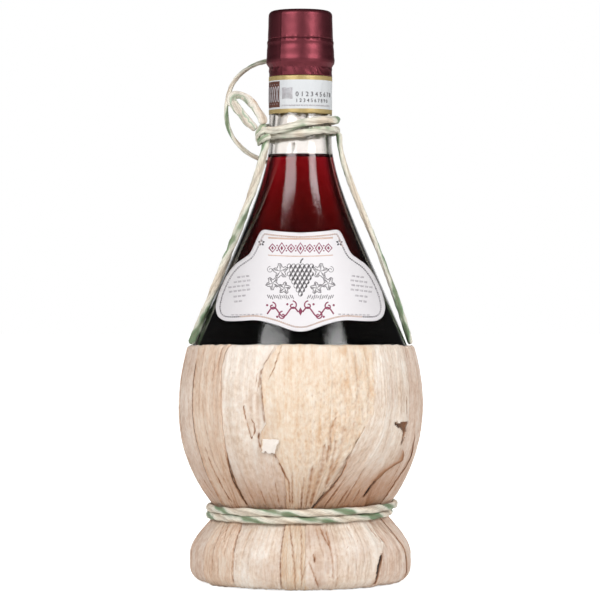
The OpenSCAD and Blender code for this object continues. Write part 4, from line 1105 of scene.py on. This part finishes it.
def makeLeaf(number):
    b = basket
    outer = number % 2 == 1
    shown = number in leafEdges
    rows, columns = (240, 112) if shown else (170, 72)
    line, step = alongCurve(basketLine, rows)
    inner = movedIn(line, 1)
    seed = number * 7.31
    middle = 22.5 * (number - 1)
    half = b["outerHalf"] if outer else b["innerHalf"]
    bm = bmesh.new()
    strip = bm.verts.layers.float_vector.new("strip")
    stainAndShade = bm.verts.layers.float.new("stainAndShade")
    bmesh.ops.create_grid(bm, x_segments=columns, y_segments=rows, size=0.5)
    byRow = [[] for _ in range(rows + 1)]
    for v in bm.verts:
        byRow[round((v.co.y + 0.5) * rows)].append(v)
    torn = set()
    for j, ring in enumerate(byRow):
        out, r, z = line[j], line[j].x, line[j].y
        inwards = (inner[j] - out).normalized()
        along = j * step
        if shown:
            left, right = (followed(edge, z) for edge in leafEdges[number])
        else:
            left = middle - half + b["wander"] * noise.noise(Vector((along * 0.02, seed, 1)))
            right = middle + half + b["wander"] * noise.noise(Vector((along * 0.02, seed, 2)))
        perDegree = math.radians(1) * r
        left += 0.3 / perDegree * noise.noise(Vector((along * 0.5, seed, 3)))
        right += 0.3 / perDegree * noise.noise(Vector((along * 0.5, seed, 4)))
        wobble = 0.3 / perDegree * noise.noise(Vector((z * 0.9, 7, seed)))
        near = [(lineAt(points, z, width), depth, dark) for points, width, depth, dark in creases]
        near = [(at[0] + wobble, at[1], depth, dark) for at, depth, dark in near
                if at and left - 2 < at[0] < right + 2]
        gaps = [(owner, dark, [p[:2] for p in points], [p[::2] for p in points])
                for owner, dark, points in tears if points[-1][0] - 1 < z < points[0][0] + 6]
        # The fibres run smoothly, whatever the edge does
        fibreEdges = grain.get(number, leafEdges.get(number))
        if fibreEdges:
            grainLeft, grainRight = (sum(followed(edge, z + d) for d in (-9, -6, -3, 0, 3, 6, 9)) / 7
                                     for edge in fibreEdges)
        else:
            grainLeft, grainRight = middle - half, middle + half
        aboveWaist = math.exp(-(max(0, z - b["waistZ"]) / 15) ** 2)
        tight = aboveWaist if z > b["waistZ"] else 0.45 + 0.55 * math.exp(-((z - b["waistZ"]) / 8) ** 2)
        rimRoll = smoothStep(1.6, 0, b["rimZ"] - z) if z > b["waistZ"] else 0
        inFoot = smoothStep(34, 30, z)
        pleatWidth = b["pleatWidth"] + (b["footPleatWidth"] - b["pleatWidth"]) * inFoot
        pleatLine = 0.08 + 0.05 * inFoot
        for v in ring:
            u = v.co.x + 0.5
            angle = left + (right - left) * u
            across = (angle - grainLeft) / (grainRight - grainLeft) * half * 2 * math.radians(1) * 54
            deep = b["outerDeep"] if outer else b["innerDeep"]
            brown = 0
            # Broad buckling that the leaves share, then ridges along each
            deep -= 0.35 * noise.noise(Vector((math.sin(math.radians(angle)) * 7, math.cos(math.radians(angle)) * 7, along * 0.03)))
            deep -= 0.3 * noise.noise(Vector((across * 0.35, along * 0.02, seed + 3)))
            deep -= 0.2 * noise.noise(Vector((across * 0.9, along * 0.03, seed + 4)))
            # Blisters and pits; the pits are browned as painted shade
            blister = 0.12 + (0.32 * smoothStep(46, 60, z) * smoothStep(102, 92, z) * smoothStep(-6, 4, angle)
                              if number in (1, 2) else 0)
            bubble = noise.noise(Vector((across * 0.6, along * 0.42, seed + 5)))
            pimple = noise.noise(Vector((across * 1.4, along * 0.9, seed + 6)))
            deep -= blister * (bubble + 0.5 * pimple)
            brown += blister * (0.9 * max(0, -0.15 - pimple) + 0.3 * max(0, -bubble))
            # Pleats gather the leaf at the waist and in the foot: a slow rise, then a step down, darkened as painted
            # shade at the step and a little on the rise
            phase = across / pleatWidth + 1.3 * noise.noise(Vector((across * 0.11, along * 0.012, seed + 9)))
            part = phase % 1
            size = max(0, 0.45 + 1.3 * noise.noise(Vector((math.floor(phase) * 3.7, seed, 2)))) * tight
            rise = part / 0.86 if part < 0.86 else (1 - part) / 0.14
            deep += b["pleat"] * pleatWidth / b["pleatWidth"] * size * (0.5 - rise)
            brown += size * math.exp(-((part - 0.97) / pleatLine) ** 2) * (0.28 if z > b["waistZ"] else 0.36)
            brown += 0.12 * size * rise
            # Folds and cracks are pressed in and darkened, partly brown and partly painted shade
            for at, width, depth, dark in near:
                off = (angle - at) * perDegree / width
                if abs(off) < 2.6:
                    fall = math.exp(-off * off)
                    deep += depth * fall
                    broken = noise.noise(Vector((along * 0.5, at, 3))) if width < 1 else 0
                    brown += dark * fall * (0.75 + 0.8 * broken) * (1 - 0.25 * inFoot)
            # Browner towards the waist above it: partly tan, partly painted shade on the belly's underside
            if z > b["waistZ"]:
                brown += b["lowTanAndShade"] * (2.4 if number in (3, 4) else 1.8 if number == 16 else 0.9) * math.exp(-((z - b["waistZ"]) / 22) ** 2)
            elif number == 3:
                brown += 0.1 * smoothStep(22, 10, angle)
            brown += 0.22 * max(0, noise.noise(Vector((across * 0.12, along * 0.06, seed + 12))))
            brown -= (0.2 if number == 1 else 0.3 if number == 16 else 0) * smoothStep(78, 104, z)
            for owner, dark, middles, widths in gaps:
                level = z + 1.1 * noise.noise(Vector((angle * 0.55, 3, 8)))
                off = (angle - followed(middles, level) - wobble) * perDegree
                width = followed(widths, level)
                if level > widths[0][0]:
                    # The lip above a tear curls away from what lies below
                    if owner == number and abs(off) < width:
                        deep -= 0.6 * math.exp(-(level - widths[0][0]) / 1.6) * (1 - (off / width) ** 2)
                elif level > widths[-1][0] and owner == number and abs(off) < width:
                    torn.add(v)
                elif level > widths[-1][0] and owner == number and abs(off) < width + 1:
                    deep -= 0.35 * (1 - (abs(off) - width))
                    brown += 0.25 * (1 - (abs(off) - width))
                # Inside a tear the leaf below is darkened, partly red-brown and partly painted shade
                elif level > widths[-1][0] and owner != number and abs(off) < width + 1.6:
                    inside = smoothStep(width + 1.6, width, abs(off))
                    brown += dark * (1 - 0.35 * off / (width + 1.6)) * inside
                    deep += 0.4 * inside
            # An edge stands off the leaf below it and is a little browner, partly dried and partly painted shade along
            # the gap, less so where it is pressed flat
            toEdge = min(u, 1 - u) * (right - left) * perDegree
            edge = math.exp(-toEdge / 0.9)
            lift = 0.12 + 0.3 * noise.noise(Vector((along * 0.06, seed, 6 + (u > 0.5))))
            deep -= edge * lift if outer else 0
            pressed = followed(flush[number, u > 0.5], z) if (number, u > 0.5) in flush else 0
            deep += pressed * math.exp(-toEdge / 3)
            edgeBrownAndShade = max(0, 1.6 * noise.noise(Vector((along * 0.1, seed, 8)))) * (1 - 1.8 * max(0, pressed))
            brown += 0.5 * math.exp(-toEdge / 0.3) * edgeBrownAndShade
            # Listed edges are darkened further: partly dried brown, partly painted shade in cracks and beside a raised
            # edge
            if (number, u > 0.5) in driedAndShaded:
                low, high, dark, wide = driedAndShaded[number, u > 0.5]
                brown += dark * math.exp(-toEdge / wide) * smoothStep(low - 2, low + 2, z) * smoothStep(high + 2, high - 2, z)
            deep -= (0 if outer else 0.4) * smoothStep(4, 1, z)
            deep += 0.9 * rimRoll * rimRoll
            place = out + inwards * deep
            raised = b["rimLift"] * max(0, math.cos(math.radians(angle))) * smoothStep(8, 0, b["rimZ"] - z)
            high = place.y + (raised if z > b["waistZ"] else 0)
            high += 0.45 * rimRoll * noise.noise(Vector((across * 0.25, seed, 11)))
            turn = math.radians(angle - 90)
            v.co = Vector((place.x * math.cos(turn), place.x * math.sin(turn), max(high, 0.05))) * mm
            v[strip] = (across + number * 40, along, number * 3)
            v[stainAndShade] = min(1.6, brown)
    lost = [face for face in bm.faces if sum(v in torn for v in face.verts) > 1]
    bmesh.ops.delete(bm, geom=lost, context="FACES")
    bmesh.ops.recalc_face_normals(bm, faces=bm.faces)
    if sum(face.normal.dot(Vector((face.verts[0].co.x, face.verts[0].co.y, 0))) for face in bm.faces) < 0:
        bmesh.ops.reverse_faces(bm, faces=bm.faces)
    bm.normal_update()
    bmesh.ops.solidify(bm, geom=bm.faces, thickness=b["thick"] * mm)
    if number == 1:
        addChip(bm, strip, stainAndShade)
    finishPiece("leaf_strip_%02d" % number, bm, straws[leafTones[number]], "bottle", ["leaf_%02d" % number])


# A torn flap of the front leaf that stands up from its left edge
chip = {"left": -18.4, "right": -10.2, "high": 67.2, "low": 61, "stand": 1.1}


def addChip(bm, strip, stainAndShade):
    k = chip
    made = bmesh.ops.create_grid(bm, x_segments=24, y_segments=18, size=0.5)["verts"]
    for v in made:
        u, s = v.co.x + 0.5, v.co.y + 0.5
        ragged = 1.1 * noise.noise(Vector((u * 3.1, s * 3.1, 3)))
        angle = k["left"] + (k["right"] - k["left"]) * u * (0.86 + 0.14 * s) + 1.2 * (s - 0.5) + ragged
        z = k["low"] + (k["high"] - k["low"]) * s * (0.9 + 0.1 * u) - 0.8 * u + 0.9 * noise.noise(Vector((u * 4, s * 2, 9)))
        lift = k["stand"] * (0.25 + 0.75 * u * u) * (1.15 - 0.45 * s) + 0.12 * noise.noise(Vector((u * 3, s * 3, 8)))
        r = radiusAt([p for p in basketLine if p.y > 20], z) + lift
        turn = math.radians(angle - 90)
        v.co = Vector((r * math.cos(turn), r * math.sin(turn), z)) * mm
        v[strip] = (u * 7, s * 6, 70)
        # The flap is paler, with painted shadow along its left edge where it meets the leaf
        v[stainAndShade] = -1 + 1.6 * smoothStep(0.1, 0, u)
    faces = list({face for v in made for face in v.link_faces})
    for face in faces:
        face.normal_update()
        if face.normal.dot(Vector((face.verts[0].co.x, face.verts[0].co.y, 0))) < 0:
            face.normal_flip()
    bmesh.ops.solidify(bm, geom=faces, thickness=basket["thick"] * mm)


for leafNumber in range(1, 2 * basket["leafCount"] + 1):
    makeLeaf(leafNumber)
print("leaves done")

# The hoop under the rim and the straw ring in the foot, both of bundled straw
bundles = {"hoop": 0.45, "hoopDrop": 3, "hoopTwists": 90, "lining": 1.75, "coreHole": 24, "coreRibs": 70, "rib": 0.35}


def makeBundles():
    k, b = bundles, basket
    centre = clearOfGlass(b["rimZ"] - k["hoopDrop"], k["hoop"] + 0.1)
    bm = spunMesh(arc(centre.x, centre.y, k["hoop"], 0, 360, 12)[:-1], 540)
    for v in bm.verts:
        turn = math.atan2(v.co.y, v.co.x)
        out = Vector((math.hypot(v.co.x, v.co.y) / mm - centre.x, v.co.z / mm - centre.y))
        lobe = 0.82 + 0.18 * abs(math.sin(k["hoopTwists"] * turn / 2 + math.atan2(out.y, out.x)))
        out *= lobe
        r = centre.x + out.x
        v.co = Vector((r * math.cos(turn), r * math.sin(turn), centre.y + out.y)) * mm
    markStraw(bm)
    finishPiece("rim_hoop_straw", bm, straws["tan"], "bottle", ["rim_hoop"])
    outside = [p for p in movedIn(basketLine, k["lining"]) if p.y < b["waistZ"] - 1]
    seat = [p for p in rising if k["coreHole"] < p.x and p.y < outside[-1].y]
    bm = spunMesh([Vector((max(p.x, k["coreHole"]), max(p.y, 0.1))) for p in outside] + seat[::-1], 420)
    for v in bm.verts:
        turn = math.atan2(v.co.y, v.co.x)
        r, z = math.hypot(v.co.x, v.co.y) / mm, v.co.z / mm
        under = z < 3
        free = min(1, max(0, (r - radiusAt(rising, z)) / 3)) if z > flask["bellyZ"] - flask["drop"] + 1 else 1
        rib = abs(math.sin(k["coreRibs"] * turn + 0.25 * z)) ** 0.7 + 0.4 * noise.noise(Vector((turn * 20, z * 0.2, 4)))
        if under:
            v.co.z += k["rib"] * (0.4 + rib) * mm
        else:
            shrink = 1 - k["rib"] * free * (1 - min(1, rib)) / r
            v.co.x *= shrink
            v.co.y *= shrink
    markStraw(bm)
    finishPiece("foot_ring_straw", bm, straws["tan"], "bottle", ["foot_core"])


# Lays the straw's streaks along a ring
def markStraw(bm):
    strip = bm.verts.layers.float_vector.new("strip")
    stainAndShade = bm.verts.layers.float.new("stainAndShade")
    for v in bm.verts:
        turn = math.atan2(v.co.y, v.co.x)
        v[strip] = (v.co.z / mm + abs(turn) * 20, math.hypot(v.co.x, v.co.y) / mm, 50)
        v[stainAndShade] = 0.12


makeBundles()
print("straw rings done")

# Cords that are held tight against the flask, in millimetres
harness = {"diameter": 3, "strips": 2, "groove": 0.3, "uneven": 0.14, "sides": 32, "steps": 90,
           "legs": {"left": (-4.9, 220, 191, 4.4, 0, {"seed": 5, "pitch": 48, "phase": 2.3, "flat": (1.28, 1)}),
                    "right": (0.4, 357, 358, 1.65, 3, {"seed": 12, "pitch": 100, "phase": 2.6})},
           "hidden": {"left": (-1.8, 217, 18.5), "right": (2.3, 357, 16.4)}}


# A leg's top end is hidden in the neck cord or its knot
def harnessRoute(side, topZ, topTurn, footTurn, lift, belly):
    k = harness
    up, startTurn, out = k["hidden"][side]
    a = math.radians(startTurn)
    route = [Vector((out * math.cos(a), out * math.sin(a), knotZ + up)) * mm]
    footZ = basket["rimZ"] + 0.4
    for i in range(k["steps"] + 1):
        u = i / k["steps"]
        z = knotZ + topZ + (footZ - knotZ - topZ) * u
        off = k["diameter"] / 2 + 0.15 + lift * (1 - u) ** 2 + belly * math.sin(math.pi * u)
        r = clearOfGlass(z, off).x
        turn = math.radians(topTurn + (footTurn - topTurn) * (1 - (1 - u) ** 3))
        route.append(Vector((r * math.cos(turn), r * math.sin(turn), z)) * mm)
    return route


for side, (topZ, topTurn, footTurn, lift, belly, twist) in harness["legs"].items():
    bm = cordMesh(harnessRoute(side, topZ, topTurn, footTurn, lift, belly), {**harness, **twist}, (0, 1, 0))
    finishPiece("harness_cord_" + side, bm, raffiaTwoTone, "bottle", ["harness_" + side])

waistCord = {"diameter": 3, "pitch": 30, "strips": 2, "groove": 0.22, "uneven": 0.16, "sides": 32, "seed": 9,
             "phase": 2.3, "rise": 3.2, "turns": 2, "standOff": 0.35, "loose": 1.3, "flat": (1, 1.14)}


def waistRoute():
    k = waistCord
    seat = [p for p in movedIn(basketLine, -(k["diameter"] / 2 + k["standOff"])) if 14 < p.y < 60]
    route = []
    for i in range(k["turns"] * 220 + 1):
        turn = i / 220
        z = basket["waistZ"] + 0.4 + k["rise"] * (turn - k["turns"] / 2)
        r = radiusAt(seat, z)
        a = math.radians(90 + 360 * turn)
        route.append(Vector((r * math.cos(a), r * math.sin(a), z)) * mm)
    tail = k["diameter"] * mm
    return [route[0] + tail * (route[0] - route[1]).normalized()] + route \
        + [route[-1] + tail * (route[-1] - route[-2]).normalized()]


finishPiece("waist_cord_twisted", cordMesh(waistRoute(), waistCord, (0, 0, 1)), raffiaTwoTone, "bottle",
            ["waist_cord"])

# The neck cord goes round twice from the knot and back to it; out and high are shares of
# its thickness by the degrees gone round
winding = {"diameter": 3.6, "pitch": 48, "strips": 3, "groove": 0.24, "uneven": 0.16, "sides": 36, "seed": 4,
           "phase": 0.3, "flat": (0.95, 1.0), "loose": 1.2, "angle": 217, "slant": 22, "half": 1.5, "firstZ": -1.4, "lastZ": 2,
           "lump": 2.4, "cap": 2.5,
           "out": [(26, 0.8), (45, 0.14), (60, 0), (640, 0), (657, 0.14), (675, 0.72), (694, 1.02)],
           "high": [(26, -0.36), (60, -0.17), (120, 0.25), (217, 0.78), (272, 0.67), (296, 0.33), (325, 0.06),
                    (360, 0), (405, 1.03), (430, 1.42), (480, 1.83), (577, 2.14), (632, 1.89), (657, 1.61),
                    (675, 1.11), (694, 0.67)]}
windingRadius = flask["neckRadius"] + winding["diameter"] / 2 + 0.4
knotRadius = windingRadius + winding["diameter"] / 2 + winding["lump"] + 0.15


def lookedUp(table, s):
    for (s1, v1), (s2, v2) in zip(table, table[1:]):
        if s <= s2:
            return v1 + (v2 - v1) * max(0, s - s1) / (s2 - s1)
    return table[-1][1]


def inKnotFrame(out, along, z):
    a = math.radians(winding["angle"])
    return (out * math.cos(a) + along * math.sin(a), out * math.sin(a) - along * math.cos(a), z)


def windingRoute():
    k = winding
    d, lean = k["diameter"], math.radians(k["slant"])
    out = knotRadius - d * math.sin(lean)
    side = k["half"] + d * math.cos(lean)
    points = [inKnotFrame(knotRadius, k["half"], knotZ + k["firstZ"]), inKnotFrame(out, side, knotZ + k["firstZ"])]
    for i in range(45):
        s = 30 + 15 * i
        a = math.radians(k["angle"] - s)
        r = windingRadius + d * lookedUp(k["out"], s)
        points.append((r * math.cos(a), r * math.sin(a), knotZ + d * lookedUp(k["high"], s)))
    points += [inKnotFrame(out, -side, knotZ + k["lastZ"]), inKnotFrame(knotRadius, -k["half"], knotZ + k["lastZ"])]
    return smoothRoute(points, 4)


finishPiece("neck_cord_twisted", cordMesh(windingRoute(), winding, (0, 0, 1)), raffiaPale, "bottle",
            ["neck_winding"])

# The knot: strips of the cord folded over each other round its core
knotFolds = [
    # points in the knot's frame: out from its middle, along the neck cord, up; then width and thickness
    ([(-0.8, -4.4, -0.6), (0.7, -2.9, -1.3), (1.4, -1.2, -2.2), (1.5, 0.6, -3), (1, 2, -3.5), (0.1, 2.3, -2.2),
      (-0.2, 2.1, -0.4)], 2.9, 1.3, 3.1),
    ([(-0.9, 2.2, -3.2), (0.6, 1.9, -2.4), (1.7, 1.5, -0.6), (1.8, 0.9, 1.4), (1, 0.5, 3.2), (-0.4, 0.4, 4.2),
      (-1.6, 0.3, 4.3)], 3.2, 1.3, 7.7),
    ([(-1, -3.6, 2.4), (0.6, -2.4, 2), (1.9, -0.8, 1), (2.3, 0.8, -0.2), (1.7, 2, -1.6), (0.5, 2.4, -2.8),
      (-1, 2, -3.2)], 2.5, 1.2, 5.2)]


def makeKnot():
    core = spunMesh([Vector(p) for p in ((0, -3.3), (0.9, -3.2), (1.3, -2), (1.5, 1), (1.3, 3), (0.8, 3.8), (0, 3.9))], 40)
    lay = core.verts.layers.float_vector.new("lay")
    core.verts.layers.float.new("grooveShade")
    for v in core.verts:
        a = math.atan2(v.co.y, v.co.x)
        x, y, z = inKnotFrame(knotRadius + v.co.x / mm, v.co.y / mm, knotZ + v.co.z / mm)
        v.co = Vector((x, y, z)) * mm
        v[lay] = (math.cos(a), math.sin(a), z)
    bmesh.ops.recalc_face_normals(core, faces=core.faces)
    for points, wide, thick, seed in knotFolds:
        route = smoothRoute([inKnotFrame(knotRadius + out, along, knotZ + up) for out, along, up in points], 6)
        look = dict(winding, diameter=wide, flat=(1, thick / wide), seed=seed, pitch=120, phase=seed, sides=28)
        strand = cordMesh(route, look, Vector(inKnotFrame(1, 0, 0)).cross(Vector((0, 0, 1))).normalized())
        joined = bpy.data.meshes.new("strand")
        strand.to_mesh(joined)
        core.from_mesh(joined)
        bpy.data.meshes.remove(joined)
        strand.free()
    finishPiece("knot_folded", core, raffiaPale, "bottle", ["knot"])


makeKnot()
print("held cords done")

# Studio: a pale floor, white behind, and two tall soft boxes in front of the object
studio = {"ambient": 0.24, "backdrop": 0.83, "through": 1.28, "flags": 0.08, "glossDim": 0.03, "floor": "#EDEDEB", "glow": 0.8,
          "floorSize": 6, "lamps": {
              "leftSoftBox": {"place": (-0.66, -1.02, 0.83), "size": (0.76, 0.76), "power": 11.7},
              "rightSoftBox": {"place": (0.84, -0.88, 0.76), "size": (0.5, 0.76), "power": 10}}}


# Two dark flags stand behind the object to its left and right and draw the edges of glass
# and wine. Gives 1 beside them and less in them, by the way a ray goes.
def besideFlags(tree, way, rise):
    aside = addNode(tree, "ShaderNodeMath", {"operation": "ABSOLUTE"}, {0: way.outputs[0]})
    flag = addNode(tree, "ShaderNodeMapRange", {1: rise, 2: rise + 0.16}, {0: aside.outputs[0]})
    for sign, low, high in ((aside, 0.7, 0.62), (way, 0, 0.3)):
        part = addNode(tree, "ShaderNodeMapRange", {1: low, 2: high}, {0: sign.outputs[0 if sign == aside else 1]})
        flag = addNode(tree, "ShaderNodeMath", {"operation": "MULTIPLY"}, {0: part.outputs[0], 1: flag.outputs[0]})
    return flag


def makeWorld():
    world = bpy.data.worlds.new("studio")
    bpy.context.scene.world = world
    world.use_nodes = True
    tree = world.node_tree
    tree.nodes.clear()
    path = addNode(tree, "ShaderNodeLightPath")
    place = addNode(tree, "ShaderNodeTexCoord")
    split = addNode(tree, "ShaderNodeSeparateXYZ", links={0: place.outputs["Generated"]})
    flagged = addNode(tree, "ShaderNodeMapRange", {3: studio["through"], 4: studio["flags"]},
                      {0: besideFlags(tree, split, 0.22).outputs[0]})
    through = addNode(tree, "ShaderNodeMath", {"operation": "MULTIPLY"},
                      {0: flagged.outputs[0], 1: path.outputs["Is Transmission Ray"]})
    seen = addNode(tree, "ShaderNodeMath", {"operation": "MAXIMUM"},
                   {0: path.outputs["Is Camera Ray"], 1: through.outputs[0]})
    # Gloss shows the white backdrop behind the object, and a dim studio elsewhere
    behind = addNode(tree, "ShaderNodeMapRange", {1: 0.86, 2: 0.97, 3: studio["glossDim"], 4: 1},
                     {0: split.outputs[1]})
    gloss = addNode(tree, "ShaderNodeMath", {"operation": "MULTIPLY"},
                    {0: behind.outputs[0], 1: path.outputs["Is Glossy Ray"]})
    shown = addNode(tree, "ShaderNodeMath", {"operation": "MAXIMUM"}, {0: seen.outputs[0], 1: gloss.outputs[0]})
    # The lit backdrop also throws soft light on the flanks and the back
    thrown = addNode(tree, "ShaderNodeMapRange", {1: -0.2, 2: 0.5, 3: studio["ambient"], 4: studio["backdrop"]},
                     {0: split.outputs[1]})
    soft = addNode(tree, "ShaderNodeMath", {"operation": "MULTIPLY"},
                   {0: thrown.outputs[0], 1: path.outputs["Is Diffuse Ray"]})
    strength = addNode(tree, "ShaderNodeMath", {"operation": "MAXIMUM"}, {0: shown.outputs[0], 1: soft.outputs[0]})
    light = addNode(tree, "ShaderNodeBackground", {"Color": (1, 1, 1, 1)}, {"Strength": strength.outputs[0]})
    addNode(tree, "ShaderNodeOutputWorld", links={0: light.outputs[0]})


def makeFloor():
    bm = bmesh.new()
    bmesh.ops.create_grid(bm, x_segments=1, y_segments=1, size=studio["floorSize"])
    mesh = bpy.data.meshes.new("floor")
    bm.to_mesh(mesh)
    bm.free()
    floor = bpy.data.objects.new("floor", mesh)
    bpy.context.scene.collection.objects.link(floor)
    material, tree = newMaterial("floorPaper")
    rays = addNode(tree, "ShaderNodeLightPath")
    seen = addNode(tree, "ShaderNodeMath", {"operation": "MAXIMUM"},
                   {0: rays.outputs["Is Camera Ray"], 1: rays.outputs["Is Transmission Ray"]})
    # Glass and wine bend the view down to the floor, where the same flags stand
    place = addNode(tree, "ShaderNodeTexCoord")
    way = addNode(tree, "ShaderNodeVectorMath", {"operation": "NORMALIZE"}, {0: place.outputs["Object"]})
    split = addNode(tree, "ShaderNodeSeparateXYZ", links={0: way.outputs[0]})
    far = addNode(tree, "ShaderNodeVectorMath", {"operation": "LENGTH"}, {0: place.outputs["Object"]})
    reach = addNode(tree, "ShaderNodeMapRange", {1: 0.16, 2: 0.34}, {0: far.outputs["Value"]})
    flag = addNode(tree, "ShaderNodeMath", {"operation": "MULTIPLY"},
                   {0: reach.outputs[0], 1: besideFlags(tree, split, 0.36).outputs[0]})
    flagged = addNode(tree, "ShaderNodeMapRange", {3: 1, 4: studio["flags"]}, {0: flag.outputs[0]})
    shade = addNode(tree, "ShaderNodeMix", {2: 1}, {0: rays.outputs["Is Transmission Ray"], 3: flagged.outputs[0]})
    strength = addNode(tree, "ShaderNodeMath", {"operation": "MULTIPLY", 1: studio["glow"]}, {0: shade.outputs[0]})
    tint = addNode(tree, "ShaderNodeVectorMath", {"operation": "SCALE", 0: toLinear(studio["floor"])[:3]},
                   {"Scale": shade.outputs[0]})
    skin = addNode(tree, "ShaderNodeBsdfDiffuse", links={"Color": tint.outputs[0]})
    glow = addNode(tree, "ShaderNodeEmission", links={"Strength": strength.outputs[0]})
    lit = addNode(tree, "ShaderNodeAddShader", links={0: skin.outputs[0], 1: glow.outputs[0]})
    both = addNode(tree, "ShaderNodeMixShader", links={0: seen.outputs[0], 1: skin.outputs[0], 2: lit.outputs[0]})
    addNode(tree, "ShaderNodeOutputMaterial", links={0: both.outputs[0]})
    mesh.materials.append(material)


def makeLamps():
    for name, values in studio["lamps"].items():
        data = bpy.data.lights.new(name, "AREA")
        data.shape = "RECTANGLE"
        data.size, data.size_y = values["size"]
        data.energy = values["power"]
        lamp = bpy.data.objects.new(name, data)
        bpy.context.scene.collection.objects.link(lamp)
        lamp.location = values["place"]
        aim = Vector((0, 0, values["place"][2]))
        lamp.rotation_euler = (aim - Vector(values["place"])).to_track_quat("-Z", "Y").to_euler()


bpy.context.scene.view_settings.view_transform = "Standard"
makeWorld()
makeFloor()
makeLamps()
print("studio done")
